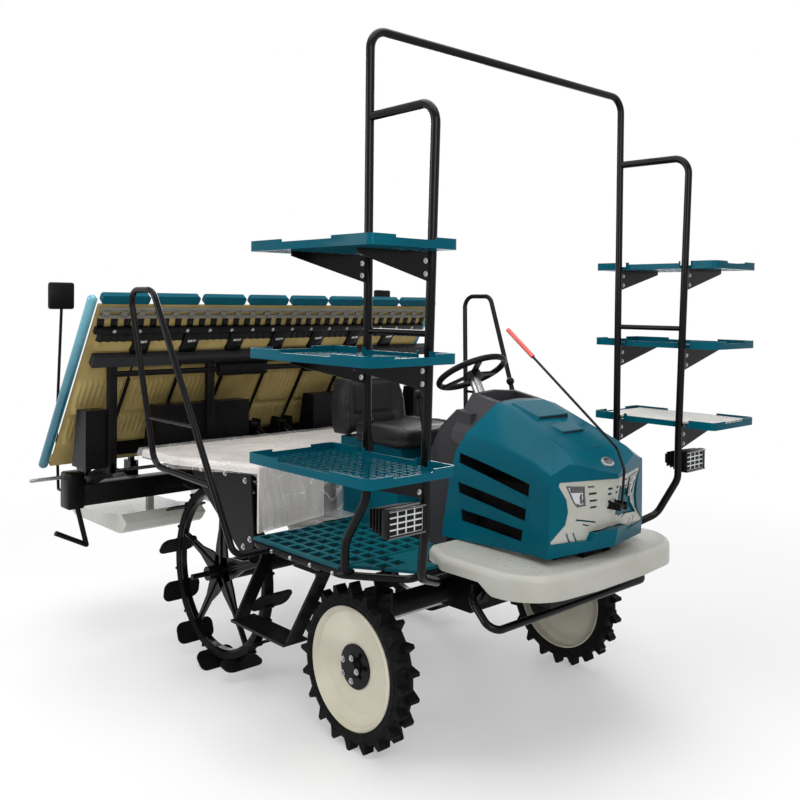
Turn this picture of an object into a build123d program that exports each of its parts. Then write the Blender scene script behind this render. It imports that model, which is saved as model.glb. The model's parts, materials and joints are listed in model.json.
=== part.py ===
from build123d import *
import os
from math import atan2, cos, degrees, hypot, radians, sin

os.makedirs("parts", exist_ok=True)

# Ride-on rice transplanter with eight rows.
# X points forward, Y to the machine's left, Z up; the wheels stand on Z = 0.
# Heights are above the ground. A station is a distance ahead of the front axle.

# Whole machine
wheelbase = 1022
front_track = 1236
rear_track = 1200
front_reach = 765
rear_reach = 2150
front_axle_x = (rear_reach - front_reach) / 2
rear_axle_x = front_axle_x - wheelbase
fit_gap = 0.3

# Rows
row_count = 8
row_pitch = 250

# Front wheels
front_radius = 308
front_width = 88
front_lug_height = 27
front_lugs = 20
dish_radius = 231
hub_radius = 84

# Rear wheels
rear_radius = 445
rear_blade_width = 190
rear_blades = 12
rear_blade_height = 48
rear_ring_width = 46
rear_ring_depth = 34
rear_spokes = 5
rear_hub_radius = 62

# Front axle
kingpin_inset = 108
kingpin_y = front_track / 2 - kingpin_inset
kingpin_radius = 46
knuckle_top_z = 440
steer_arm = 140
tie_rod_z = 392
tie_rod_radius = 11
axle_beam_z = 500
axle_beam_radius = 44

# Chassis
rail_y = 230
rail_width = 56
rail_bottom_z = 600
rail_front = 640
rail_rear = -1100

# Floor
floor_z = 718
mat_thickness = 12
floor_half_width = 755
floor_rear = -545
floor_front = 60
floor_tube = 14
floor_tube_z = floor_z - mat_thickness - fit_gap - floor_tube
rail_depth = floor_tube_z - floor_tube - fit_gap - rail_bottom_z
cross_tubes = (-330, -100)

# Fender deck
deck_half_width = 450
deck_top_z = 758
deck_skirt_z = 642
deck_side_z = floor_z - mat_thickness
deck_rear = 165
deck_corner = 190
deck_wall = 5

# Engine
engine_size = (400, 360, 330)
engine_station = 400

# Hood
hood_wall = 4
hood_half_width = 262
hood_hinge_station = 690
hood_hinge_z = 842
hood_hinge_y = 70
hood_pin_radius = 8

# Racks
rack_tube = 16
rack_y = 748
rack_rear_station = 202
rack_front_y = 762
rack_front_station = 522
rack_front_lean = 34
rack_arch_z = 2642
rack_side_z = 2335
rack_bar_z = 1585
tray_size = (700, 325, 34)
tray_station = 318
tray_levels = (1146, 1496, 1850)
tray_gap = 2
tray_wall = 7
tray_near_y = rack_front_y + rack_tube + tray_gap

# Seat and steering
seat_station = -430
seat_z = 1058
wheel_rim_radius = 160
wheel_rim_tube = 13
steering_tilt = 30
steering_hub = (-15, 1392)

# Rear deck
rear_deck_z = 1000
rear_deck_rear = -1290
rear_deck_half_width = 860
rear_deck_depth = 34
fender_clearance = 13
fender_y = rear_track / 2 + rear_blade_width / 2 + fender_clearance

# Hitch and lift
hitch_station = -1060
hitch_lower_z = 560
link_rise = 260
link_reach = 560
link_angle = 21
lower_link_y = 170
upper_link_y = 90
lift_arm = 300
lift_pivot = (-1075, 740)
lift_bore = 13

# Planting section
beam_station = -1690
beam_z = 745
beam_size = 100
beam_half_length = 1010
table_top = (-1250, 1663)
table_foot = (-1795, 879)
table_half_width = 1000
table_shift = -85
table_travel = 125
table_rail_half_length = 860
rotor_station = -1905
rotor_z = 775
rotor_reach = 125
rotor_shaft = 16
float_bottom_z = 490
guide_rod_half_length = 1207
guide_rod_radius = 9
marker_y = 1163


def ahead(station):
    """X of a station, measured ahead of the front axle."""
    return front_axle_x + station


def block(x, y, z, mode=Mode.ADD):
    """A box between low and high X, Y and Z."""
    with Locations(((x[0] + x[1]) / 2, (y[0] + y[1]) / 2, (z[0] + z[1]) / 2)):
        Box(x[1] - x[0], y[1] - y[0], z[1] - z[0], mode=mode)


def rod(start, end, radius, mode=Mode.ADD):
    """A round bar from start to end."""
    line = Vector(*end) - Vector(*start)
    with BuildSketch(Plane(origin=start, z_dir=line.normalized())) as section:
        Circle(radius)
    extrude(section.sketch, amount=line.length, mode=mode)


def bent_bar(points, radius, bends):
    """A round bar along straight runs joined by arcs, one bend radius for each corner."""
    with BuildLine() as route:
        FilletPolyline(*points, radius=bends)
    with BuildSketch(Plane(origin=route.line @ 0, z_dir=route.line % 0)) as section:
        Circle(radius)
    sweep(section.sketch, path=route.line)


def side_plate(outline, y, mode=Mode.ADD):
    """A plate from an outline of X and Z, between low and high Y."""
    with BuildSketch(Plane.XZ.offset(-y[0])) as section:
        Polygon(*outline, align=None)
    extrude(section.sketch, amount=-(y[1] - y[0]), mode=mode)


def flat_plate(outline, z, mode=Mode.ADD):
    """A plate from an outline of X and Y, between low and high Z."""
    with BuildSketch(Plane.XY.offset(z[0])) as section:
        Polygon(*outline, align=None)
    extrude(section.sketch, amount=z[1] - z[0], mode=mode)


def save(piece, label):
    """Label a finished piece and write it."""
    piece.label = label
    export_step(piece, f"parts/{label}.step")


sides = (("right", -1), ("left", 1))

# Front tyres: a carcass of revolution with pointed lugs, half a pitch apart on the two halves
tread_radius = front_radius - front_lug_height
for word, side in sides:
    centre = (front_axle_x, side * front_track / 2, front_radius)
    radial = Plane(origin=centre, x_dir=(1, 0, 0), z_dir=(0, 0, 1))
    half = front_width / 2
    with BuildPart() as front_tyre:
        with BuildSketch(radial):
            # corners as (radius, distance outward)
            Polygon(
                (dish_radius, half - 8), (dish_radius + 26, half), (tread_radius - 6, half - 6),
                (tread_radius, half - 22), (tread_radius, 22 - half), (tread_radius - 6, 6 - half),
                (dish_radius + 26, -half), (dish_radius, 8 - half), align=None,
            )
        revolve(axis=Axis(centre, (0, 1, 0)))
        for face, turn in ((-1, 0), (1, 180 / front_lugs)):
            wall = Plane(origin=centre, x_dir=(1, 0, 0), z_dir=(0, face, 0))
            with BuildSketch(wall):
                with PolarLocations(0, front_lugs, start_angle=turn):
                    Polygon(
                        (tread_radius - 14, -26), (front_radius, -7),
                        (front_radius, 7), (tread_radius - 14, 18), align=None,
                    )
            extrude(amount=half - 2)
    save(front_tyre.part, f"front_tyre_{word}")

# Front wheel dishes: rim band and smooth pressed disc
for word, side in sides:
    centre = (front_axle_x, side * front_track / 2, front_radius)
    radial = Plane(origin=centre, x_dir=(1, 0, 0), z_dir=(0, 0, side))
    rim = dish_radius - fit_gap
    with BuildPart() as front_dish:
        with BuildSketch(radial):
            Polygon(
                (rim, -36), (rim, 40), (rim - 7, 46), (rim - 12, 40), (rim - 22, 24),
                (rim - 60, 12), (hub_radius - 16, 6), (hub_radius - 16, 1), (rim - 58, 7),
                (rim - 24, 16), (rim - 5, 4), (rim - 5, -36), align=None,
            )
        revolve(axis=Axis(centre, (0, 1, 0)))
    save(front_dish.part, f"front_dish_{word}")

# Front hubs: plate on the dish, boss and a ring of bolt heads
for word, side in sides:
    centre = (front_axle_x, side * front_track / 2, front_radius)
    radial = Plane(origin=centre, x_dir=(1, 0, 0), z_dir=(0, 0, side))
    with BuildPart() as front_hub:
        with BuildSketch(radial):
            Polygon(
                (0, -10), (hub_radius - 18, -10), (hub_radius - 18, 7), (hub_radius, 7.25),
                (hub_radius, 14), (40, 18), (34, 40), (0, 40), align=None,
            )
        revolve(axis=Axis(centre, (0, 1, 0)))
    save(front_hub.part, f"front_hub_{word}")

# Rear wheels: rubber ring with broad paddle blades and small teeth between them
ring_radius = rear_radius - rear_blade_height
for word, side in sides:
    centre = (rear_axle_x, side * rear_track / 2, rear_radius)
    radial = Plane(origin=centre, x_dir=(1, 0, 0), z_dir=(0, 0, 1))
    face_on = Plane(origin=centre, x_dir=(1, 0, 0), z_dir=(0, 1, 0))
    with BuildPart() as rear_lugs:
        with BuildSketch(radial):
            Polygon(
                (ring_radius - rear_ring_depth, -rear_ring_width / 2 + 6),
                (ring_radius - rear_ring_depth, rear_ring_width / 2 - 6),
                (ring_radius - 6, rear_ring_width / 2), (ring_radius, rear_ring_width / 2 - 10),
                (ring_radius, 10 - rear_ring_width / 2), (ring_radius - 6, -rear_ring_width / 2),
                align=None,
            )
        revolve(axis=Axis(centre, (0, 1, 0)))
        for count, span, height, foot, turn in (
            (rear_blades, rear_blade_width, rear_blade_height, 34, 0),
            (rear_blades, rear_ring_width, 14, 16, 120 / rear_blades),
            (rear_blades, rear_ring_width, 14, 16, 240 / rear_blades),
        ):
            with BuildSketch(face_on.offset(-span / 2)):
                with PolarLocations(0, count, start_angle=turn):
                    Polygon(
                        (ring_radius - 10, -foot / 2), (ring_radius + height, -foot / 4),
                        (ring_radius + height, foot / 8), (ring_radius - 10, foot / 2), align=None,
                    )
            extrude(amount=span)
    save(rear_lugs.part, f"rear_lugs_{word}")

# Rear wheel centres: hub and flat tapered spokes
for word, side in sides:
    centre = (rear_axle_x, side * rear_track / 2, rear_radius)
    face_on = Plane(origin=centre, x_dir=(1, 0, 0), z_dir=(0, side, 0))
    spoke_end = ring_radius - rear_ring_depth - fit_gap
    with BuildPart() as rear_centre:
        with BuildSketch(face_on.offset(-45)):
            Circle(rear_hub_radius)
        extrude(amount=100)
        with BuildSketch(face_on.offset(-8)):
            with PolarLocations(0, rear_spokes, start_angle=90):
                Polygon(
                    (20, -58), (120, -44), (spoke_end - 2, -15), (spoke_end - 2, 15), (120, 44), (20, 58),
                    align=None,
                )
        extrude(amount=8)
        with BuildSketch(face_on.offset(-14)):
            Circle(spoke_end)
            Circle(spoke_end - 12, mode=Mode.SUBTRACT)
        extrude(amount=20)
    save(rear_centre.part, f"rear_centre_{word}")

# Front axle case: gearbox, axle tubes and kingpin housings
with BuildPart() as front_axle_case:
    block((ahead(-80), ahead(120)), (-130, 130), (rail_bottom_z - 175, rail_bottom_z - fit_gap))
    rod((ahead(0), -kingpin_y, axle_beam_z), (ahead(0), kingpin_y, axle_beam_z), axle_beam_radius)
    for word, side in sides:
        rod(
            (ahead(0), side * kingpin_y, knuckle_top_z + fit_gap),
            (ahead(0), side * kingpin_y, axle_beam_z + 70), kingpin_radius + 6,
        )
save(front_axle_case.part, "front_axle_case")

# Knuckles: final drive leg, stub axle to the hub and steering arm
for word, side in sides:
    hub_face = side * (front_track / 2 - 10 - fit_gap)
    with BuildPart() as knuckle:
        rod(
            (ahead(0), side * kingpin_y, front_radius), (ahead(0), side * kingpin_y, knuckle_top_z),
            kingpin_radius,
        )
        rod(
            (ahead(0), side * (kingpin_y - 52), front_radius), (ahead(0), side * (kingpin_y + 44), front_radius),
            70,
        )
        rod((ahead(0), side * kingpin_y, front_radius), (ahead(0), hub_face, front_radius), 30)
        arm = sorted((side * (kingpin_y - 22), side * (kingpin_y + 22)))
        block((ahead(-steer_arm - 20), ahead(0)), arm, (tie_rod_z + 14, tie_rod_z + 28))
    save(knuckle.part, f"knuckle_{word}")

# Tie rod with its two eyes
with BuildPart() as tie_rod:
    tie_x = ahead(-steer_arm)
    rod((tie_x, -kingpin_y, tie_rod_z), (tie_x, kingpin_y, tie_rod_z), tie_rod_radius)
    for word, side in sides:
        rod((tie_x, side * kingpin_y, tie_rod_z - 14), (tie_x, side * kingpin_y, tie_rod_z + 14 - fit_gap), 18)
save(tie_rod.part, "tie_rod")

# Rear axle case: gearbox and axle tubes out to the wheel hubs
with BuildPart() as rear_axle_case:
    block((rear_axle_x - 110, rear_axle_x + 130), (-130, 130), (rear_radius - 95, rear_radius + 75))
    block((rear_axle_x, rear_axle_x + 130), (-130, 130), (rear_radius + 75, rail_bottom_z - fit_gap))
    tube_end = rear_track / 2 - 45 - fit_gap
    rod((rear_axle_x, -tube_end, rear_radius), (rear_axle_x, tube_end, rear_radius), 48)
save(rear_axle_case.part, "rear_axle_case")

# Main frame: two rails, cross members and the hitch tower
with BuildPart() as main_frame:
    rail_z = (rail_bottom_z, rail_bottom_z + rail_depth)
    for word, side in sides:
        lane = sorted((side * (rail_y - rail_width / 2), side * (rail_y + rail_width / 2)))
        block((ahead(rail_rear), ahead(rail_front)), lane, rail_z)
    # cross members as (station, height of the underside above the rails' underside)
    for station, rise in ((rail_front - 30, 0), (180, 0), (20, 0), (-280, 0), (-700, 0), (-950, 0), (rail_rear + 30, 8)):
        block(
            (ahead(station - 30), ahead(station + 30)), (-rail_y, rail_y),
            (rail_bottom_z + rise, rail_bottom_z + 62),
        )
    for word, side in sides:
        for inner in (lower_link_y, upper_link_y):
            ears = sorted((side * (inner - 34), side * (inner - 22)))
            side_plate(
                (
                    (ahead(rail_rear + 60), rail_bottom_z + 8), (ahead(hitch_station - 30), hitch_lower_z - 30),
                    (ahead(hitch_station + 30), hitch_lower_z - 30),
                    (ahead(hitch_station + 30), hitch_lower_z + link_rise + 30),
                    (ahead(hitch_station - 30), hitch_lower_z + link_rise + 30),
                    (ahead(hitch_station - 30), hitch_lower_z),
                ), ears,
            )
        ear = sorted((side * 30, side * 40))
        side_plate(
            (
                (ahead(lift_pivot[0] - 22), rail_bottom_z + 50), (ahead(lift_pivot[0] + 32), rail_bottom_z + 50),
                (ahead(lift_pivot[0] + 22), lift_pivot[1] + 22), (ahead(lift_pivot[0] - 22), lift_pivot[1] + 22),
            ), ear,
        )
save(main_frame.part, "main_frame")


# Engine: one plain block on the rails
with BuildPart() as engine_block:
    length, width, height = engine_size
    engine_z = rail_bottom_z + rail_depth + fit_gap
    block(
        (ahead(engine_station - length / 2), ahead(engine_station + length / 2)),
        (-width / 2, width / 2), (engine_z, engine_z + height),
    )
    for word, side in sides:
        foot = sorted((side * (width / 2 - 5), side * (rail_y + rail_width / 2)))
        block((ahead(engine_station - 60), ahead(engine_station + 60)), foot, (engine_z, engine_z + 25))
save(engine_block.part, "engine_block")

# Front guard: a tube in a U across the front, with a bracket on each rail
guard_bend = (558, 475, 546)
tie_down_y = 296
tie_down_z = 582
tie_down_radius = 12
tie_down_plate = 10
with BuildPart() as front_guard:
    reach, half, low = guard_bend
    foot_z = rail_bottom_z + 25
    bent_bar(
        (
            (ahead(360), -rail_y - rail_width / 2 - 60, foot_z), (ahead(430), -half + 30, foot_z),
            (ahead(reach), -half, low), (ahead(reach), half, low),
            (ahead(430), half - 30, foot_z), (ahead(360), rail_y + rail_width / 2 + 60, foot_z),
        ), 14, (40, 60, 45, 45, 60, 40)[1:5],
    )
    for word, side in sides:
        ear = sorted((side * (rail_y + rail_width / 2 + fit_gap), side * (rail_y + rail_width / 2 + 75)))
        block((ahead(330), ahead(390)), ear, (foot_z - 20, foot_z + 20))
        # tie-down tab with its hole
        tab = sorted((side * (tie_down_y - 32), side * (tie_down_y + 32)))
        block((ahead(330), ahead(330) + tie_down_plate), tab, (tie_down_z - 26, foot_z))
        rod(
            (ahead(329), side * tie_down_y, tie_down_z), (ahead(331) + tie_down_plate, side * tie_down_y, tie_down_z),
            tie_down_radius, mode=Mode.SUBTRACT,
        )
save(front_guard.part, "front_guard")

# Fender deck: moulded cover round the hood, with a deeper skirt across the front
with BuildPart() as fender_deck:
    for grow, mode in ((0, Mode.ADD), (-deck_wall, Mode.SUBTRACT)):
        with BuildSketch(Plane.XY.offset(deck_skirt_z - (0 if grow == 0 else 1))) as plan:
            with Locations((ahead((deck_rear + front_reach) / 2), 0)):
                Rectangle(front_reach - deck_rear + 2 * grow, 2 * (deck_half_width + grow))
            fillet(plan.vertices().group_by(Axis.X)[-1], radius=deck_corner + grow)
        extrude(plan.sketch, amount=deck_top_z - deck_skirt_z + (0 if grow == 0 else 1 - deck_wall), mode=mode)
    # side skirts end higher than the front skirt
    side_plate(
        (
            (ahead(deck_rear - 10), deck_skirt_z - 2), (ahead(540), deck_skirt_z - 2),
            (ahead(470), deck_side_z), (ahead(deck_rear - 10), deck_side_z),
        ), (-deck_half_width - 1, deck_half_width + 1), mode=Mode.SUBTRACT,
    )
    # well for the engine and the hood's hinge, narrower towards the nose
    for front, half in ((610, engine_size[1] / 2 + 20), (rail_front + 20, hood_hinge_y + 30)):
        block(
            (ahead(deck_rear - 10), ahead(front)), (-half, half),
            (deck_skirt_z - 2, deck_top_z + 2), mode=Mode.SUBTRACT,
        )
save(fender_deck.part, "fender_deck")

# Hood sections from the rear to the nose: station, then half width and height at
# the bottom edge, belt, shoulder and ridge, then the height on the centre line
hood_sections = (
    (40, (262, 756), (264, 1000), (240, 1190), (128, 1335), 1352),
    (330, (262, 768), (264, 1000), (236, 1160), (140, 1283), 1298),
    (560, (250, 785), (254, 1000), (236, 1110), (165, 1185), 1200),
    (680, (205, 792), (215, 960), (205, 1070), (165, 1122), 1132),
    (742, (110, 800), (125, 960), (120, 1030), (95, 1066), 1072),
)
nose_station = hood_sections[-1][0]
grille_skin = 6
hood_cut = ((0, 700), (72, 700), (148, 1106), (262, 1298), (262, 1500), (0, 1500))


def hood_form(grow, stretch=0):
    """The hood's outer form, moved out by grow; stretch lengthens it past its open edges."""
    with BuildPart() as form:
        for station, bottom, belt, shoulder, ridge, crown in hood_sections:
            at = station + (grow if station == nose_station else 0)
            low = bottom[1] - stretch
            right = ((bottom[0] + grow, low), (belt[0] + grow, belt[1]), (shoulder[0] + grow, shoulder[1] + grow / 2),
                     (ridge[0] + grow / 2, ridge[1] + grow), (0, crown + grow))
            left = tuple((-y, z) for y, z in reversed(right[:-1]))
            with BuildSketch(Plane(origin=(ahead(at), 0, 0), x_dir=(0, 1, 0), z_dir=(1, 0, 0))):
                Polygon(*right, *left, align=None)
        loft(ruled=True)
    return form.part


with BuildPart() as hood_shell:
    add(hood_form(0))
    add(hood_form(-hood_wall, 30), mode=Mode.SUBTRACT)
    side_plate(tuple((ahead(x), z) for x, z in hood_cut), (-300, 300), mode=Mode.SUBTRACT)
    # three slanted slots in each side, as corners of station and height
    for slot in (
        ((170, 1060), (168, 1100), (548, 1034), (546, 986)),
        ((180, 945), (172, 988), (535, 942), (528, 895)),
        ((195, 838), (190, 884), (519, 862), (510, 818)),
    ):
        side_plate(tuple((ahead(x), z) for x, z in slot), (-300, 300), mode=Mode.SUBTRACT)
    # lugs reach back from the nose to the hinge pin
    for word, side in sides:
        lug = sorted((side * (hood_hinge_y + 11), side * (hood_hinge_y + 17)))
        side_plate(
            (
                (ahead(hood_hinge_station - 14), hood_hinge_z - 14), (ahead(740), hood_hinge_z - 20),
                (ahead(740), hood_hinge_z + 40), (ahead(hood_hinge_station - 14), hood_hinge_z + 14),
            ), lug,
        )
        rod(
            (ahead(hood_hinge_station), lug[0] - 1, hood_hinge_z), (ahead(hood_hinge_station), lug[1] + 1, hood_hinge_z),
            hood_pin_radius + fit_gap, mode=Mode.SUBTRACT,
        )
save(hood_shell.part, "hood_shell")

# Grille face: a skin over the nose, pinched at its waist
with BuildPart() as grille_face:
    add(hood_form(grille_skin))
    add(hood_form(fit_gap), mode=Mode.SUBTRACT)
    with BuildSketch(Plane(origin=(ahead(600), 0, 0), x_dir=(0, 1, 0), z_dir=(1, 0, 0))) as face:
        Polygon(
            (232, 1046), (200, 930), (215, 825), (110, 838), (60, 862), (-60, 862), (-110, 838),
            (-215, 825), (-200, 930), (-232, 1046), align=None,
        )
    extrude(face.sketch, amount=200, mode=Mode.INTERSECT)
save(grille_face.part, "grille_face")

# Hood hinge: two gooseneck plates on the frame with a pin, inside the nose
with BuildPart() as hood_hinge:
    hinge_foot = rail_bottom_z + 62 + fit_gap
    for word, side in sides:
        ear = sorted((side * hood_hinge_y, side * (hood_hinge_y + 8)))
        side_plate(
            (
                (ahead(rail_front - 36), hinge_foot), (ahead(rail_front + 6), hinge_foot),
                (ahead(rail_front + 15), hood_hinge_z - 30), (ahead(hood_hinge_station + 12), hood_hinge_z - 14),
                (ahead(hood_hinge_station + 12), hood_hinge_z + 12), (ahead(rail_front), hood_hinge_z + 16),
            ), ear,
        )
    rod(
        (ahead(hood_hinge_station), -hood_hinge_y - 20, hood_hinge_z),
        (ahead(hood_hinge_station), hood_hinge_y + 20, hood_hinge_z), hood_pin_radius,
    )
save(hood_hinge.part, "hood_hinge")

# Dashboard console between the floor and the hood's rear edge
tilt = Vector(-sin(radians(steering_tilt)), 0, cos(radians(steering_tilt)))
hub = Vector(ahead(steering_hub[0]), 0, steering_hub[1])
column_radius = 24
column_ends = (tuple(hub - tilt * 190), tuple(hub - tilt * 34))
with BuildPart() as dashboard:
    foot_z = rail_bottom_z + rail_depth + fit_gap
    side_plate(
        (
            (ahead(-40), foot_z), (ahead(-55), 1120), (ahead(30), 1262), (ahead(95), 1300),
            (ahead(225), 1330), (ahead(225), 1255), (ahead(140), 1106), (ahead(55), foot_z),
        ), (-215, 215),
    )
    rod(column_ends[0], column_ends[1], column_radius + fit_gap, mode=Mode.SUBTRACT)
save(dashboard.part, "dashboard")

# Steering column and wheel on a tilted axis
with BuildPart() as steering_column:
    rod(tuple(hub - tilt * 189), column_ends[1], column_radius)
save(steering_column.part, "steering_column")

with BuildPart() as steering_wheel:
    disc = Plane(origin=tuple(hub), x_dir=(cos(radians(steering_tilt)), 0, sin(radians(steering_tilt))), z_dir=tuple(tilt))
    section = Plane(origin=tuple(hub), x_dir=disc.x_dir, z_dir=-disc.y_dir)
    with BuildSketch(section):
        with Locations((wheel_rim_radius - wheel_rim_tube, 0)):
            Circle(wheel_rim_tube)
    revolve(axis=Axis(tuple(hub), tuple(tilt)))
    with BuildSketch(disc.offset(-34 + fit_gap)):
        Circle(42)
    extrude(amount=34, taper=12)
    with BuildSketch(disc.offset(-14)):
        for turn in (90, 210, 330):
            with Locations(Location((0, 0), turn)):
                with Locations(((wheel_rim_radius - wheel_rim_tube) / 2, 0)):
                    Rectangle(wheel_rim_radius - wheel_rim_tube, 24)
    extrude(amount=10)
save(steering_wheel.part, "steering_wheel")

# Seat: pedestal, cushion and backrest
seat_rear = seat_station - 215
with BuildPart() as seat_base:
    side_plate(
        (
            (ahead(-640), floor_z - mat_thickness), (ahead(-640), seat_z - 50), (ahead(-240), seat_z - 50),
            (ahead(-210), floor_z - mat_thickness),
        ), (-230, 230),
    )
    block((ahead(seat_rear - 90), ahead(-300)), (-140, 140), (seat_z - 50, seat_z - fit_gap))
save(seat_base.part, "seat_base")

with BuildPart() as seat_cushion:
    with BuildSketch(Plane.XY.offset(seat_z)):
        with Locations((ahead(seat_station), 0)):
            RectangleRounded(430, 450, 60)
    extrude(amount=92)
    fillet(seat_cushion.faces().sort_by(Axis.Z)[-1].edges(), radius=28)
save(seat_cushion.part, "seat_cushion")

with BuildPart() as seat_back:
    side_plate(
        (
            (ahead(seat_rear - 2), seat_z), (ahead(seat_rear - 85), seat_z), (ahead(seat_rear - 120), seat_z + 285),
            (ahead(seat_rear - 50), seat_z + 285),
        ), (-205, 205),
    )
save(seat_back.part, "seat_back")

# Rear deck: moulded step behind the seat, wider at the back, with a skirt down to the floor
deck_plan = (
    (rear_deck_rear, -rear_deck_half_width), (-1000, -rear_deck_half_width), (-560, -700), (-650, -300),
    (-650, 300), (-560, 700), (-1000, rear_deck_half_width), (rear_deck_rear, rear_deck_half_width),
)
with BuildPart() as rear_deck:
    flat_plate(tuple((ahead(x), y) for x, y in deck_plan), (rear_deck_z - rear_deck_depth, rear_deck_z))
    fillet(rear_deck.faces().sort_by(Axis.Z)[-1].edges(), radius=14)
    for word, side in sides:
        flat_plate(
            (
                (ahead(-560), side * 700), (ahead(-650), side * 300), (ahead(-662), side * 300),
                (ahead(-573), side * 700),
            ), (floor_z + fit_gap, rear_deck_z - rear_deck_depth),
        )
save(rear_deck.part, "rear_deck")

# Deck frame: uprights on the rails and two cross tubes under the deck
deck_tube_z = rear_deck_z - rear_deck_depth - fit_gap - floor_tube
with BuildPart() as deck_frame:
    for station in (-720, -1000):
        rod((ahead(station), -fender_y + fit_gap, deck_tube_z), (ahead(station), fender_y - fit_gap, deck_tube_z), floor_tube)
        for word, side in sides:
            lane = sorted((side * (rail_y - 20), side * (rail_y + 20)))
            block((ahead(station - 6), ahead(station + 6)), lane, (rail_bottom_z + rail_depth + fit_gap, deck_tube_z))
save(deck_frame.part, "deck_frame")

# Fenders over the rear wheels
with BuildPart() as rear_fenders:
    for word, side in sides:
        wall = sorted((side * fender_y, side * (fender_y + 8)))
        side_plate(
            (
                (ahead(-1090), 905), (ahead(-1040), rear_deck_z - rear_deck_depth - fit_gap),
                (ahead(-600), rear_deck_z - rear_deck_depth - fit_gap),
                (ahead(-575), floor_z), (ahead(-575), 640), (ahead(-660), 610),
            ), wall,
        )
save(rear_fenders.part, "rear_fenders")

# Floor frame: edge tube with cross tubes
with BuildPart() as floor_frame:
    tube_z = floor_tube_z
    edge = floor_half_width - floor_tube
    for word, side in sides:
        inner = side * (rail_y + rail_width / 2 + fit_gap + floor_tube)
        bent_bar(
            (
                (ahead(floor_rear), inner, tube_z), (ahead(floor_rear), side * edge, tube_z),
                (ahead(floor_front), side * edge, tube_z), (ahead(265), side * 600, tube_z),
                (ahead(265), inner, tube_z),
            ), floor_tube, (60, 60, 50),
        )
    for station in cross_tubes:
        rod((ahead(station), -edge, tube_z), (ahead(station), edge, tube_z), floor_tube)
save(floor_frame.part, "floor_frame")

# Centre floor plate between the seat and the dashboard
with BuildPart() as centre_floor:
    block((ahead(-206), ahead(-60)), (-rail_y - 24, rail_y + 24), (floor_z - mat_thickness, floor_z))
save(centre_floor.part, "centre_floor")

# Floor mats: open grids, a large outer one and a small front one on each side
with BuildPart() as floor_mats:
    mat_z = (floor_z - mat_thickness, floor_z)
    for word, side in sides:
        rear_x, front_x = ahead(floor_rear + 12), ahead(floor_front - 20)
        near, far = 262, floor_half_width - 12
        flat_plate(((rear_x, side * near), (rear_x, side * far), (front_x, side * far), (front_x, side * near)), mat_z)
        flat_plate(
            (
                (front_x + 12, side * near), (front_x + 12, side * 700), (ahead(265), side * 570),
                (ahead(265), side * 455), (ahead(152), side * 455), (ahead(152), side * near),
            ), mat_z,
        )
        with BuildSketch(Plane.XY.offset(mat_z[0])):
            with Locations(((rear_x + front_x) / 2, side * (near + far) / 2)):
                with GridLocations(70, 66, 8, 7):
                    Rectangle(52, 48)
            with Locations((ahead(110), side * 580)):
                with GridLocations(66, 66, 2, 2):
                    Rectangle(48, 48)
        extrude(amount=mat_thickness, mode=Mode.SUBTRACT)
save(floor_mats.part, "floor_mats")

# Side steps: a tread hung from the floor frame
step_z = 455
step_outer = 926
step_rear, step_front = -398, -40
with BuildPart() as side_steps:
    for word, side in sides:
        tread = sorted((side * (step_outer - 104), side * step_outer))
        block((ahead(step_rear), ahead(step_front)), tread, (step_z - 10, step_z))
        for station, top in ((step_rear + 6, -440), (step_front - 6, -65)):
            with BuildSketch(Plane(origin=(0, side * (step_outer - 40), step_z - 10), z_dir=(0, 0, 1))) as foot:
                with Locations((ahead(station), 0)):
                    Rectangle(12, 62)
            with BuildSketch(Plane(origin=(0, side * (floor_half_width - 20), floor_z - 60), z_dir=(0, 0, 1))) as head:
                with Locations((ahead(top), 0)):
                    Rectangle(12, 62)
            loft(sections=(foot.sketch, head.sketch), ruled=True)
            head_lane = sorted((side * (floor_half_width - 51), side * (floor_half_width + 11)))
            block((ahead(top - 6), ahead(top + 6)), head_lane, (floor_z - 60, floor_tube_z - floor_tube - fit_gap))
save(side_steps.part, "side_steps")

# Handrails beside the rear deck
with BuildPart() as handrails:
    for word, side in sides:
        bent_bar(
            (
                (ahead(-410), side * (floor_half_width + fit_gap), floor_tube_z), (ahead(-410), side * 905, floor_tube_z),
                (ahead(-872), side * 1020, 1728),
                (ahead(-1076), side * 1022, 1728), (ahead(-985), side * 950, 975), (ahead(-560), side * 925, 950),
            ), 13, (50, 60, 60, 70),
        )
        rod((ahead(-1010), side * 968, 1180), (ahead(-632), side * 958, 1180), 8)
save(handrails.part, "handrails")

# Rack arch: one tube from floor to floor over the machine
with BuildPart() as rack_arch:
    foot = ((85, 713), (85, 815), (202, 990), (202, rack_arch_z))
    right = tuple((ahead(x), -rack_y, z) for x, z in foot)
    left = tuple((ahead(x), rack_y, z) for x, z in reversed(foot))
    bent_bar(right + left, rack_tube, (90, 90, 70, 70, 90, 90))
    for word, side in sides:
        plate = sorted((side * (rack_y - 33), side * (rack_y + rack_tube)))
        block((ahead(70), ahead(100)), plate, (floor_z - mat_thickness, 714))
save(rack_arch.part, "rack_arch")


def front_post(z):
    """Station of the leaning front post at a height."""
    return rack_front_station + rack_front_lean * (z - 1100) / (rack_side_z - 1100)


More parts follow.
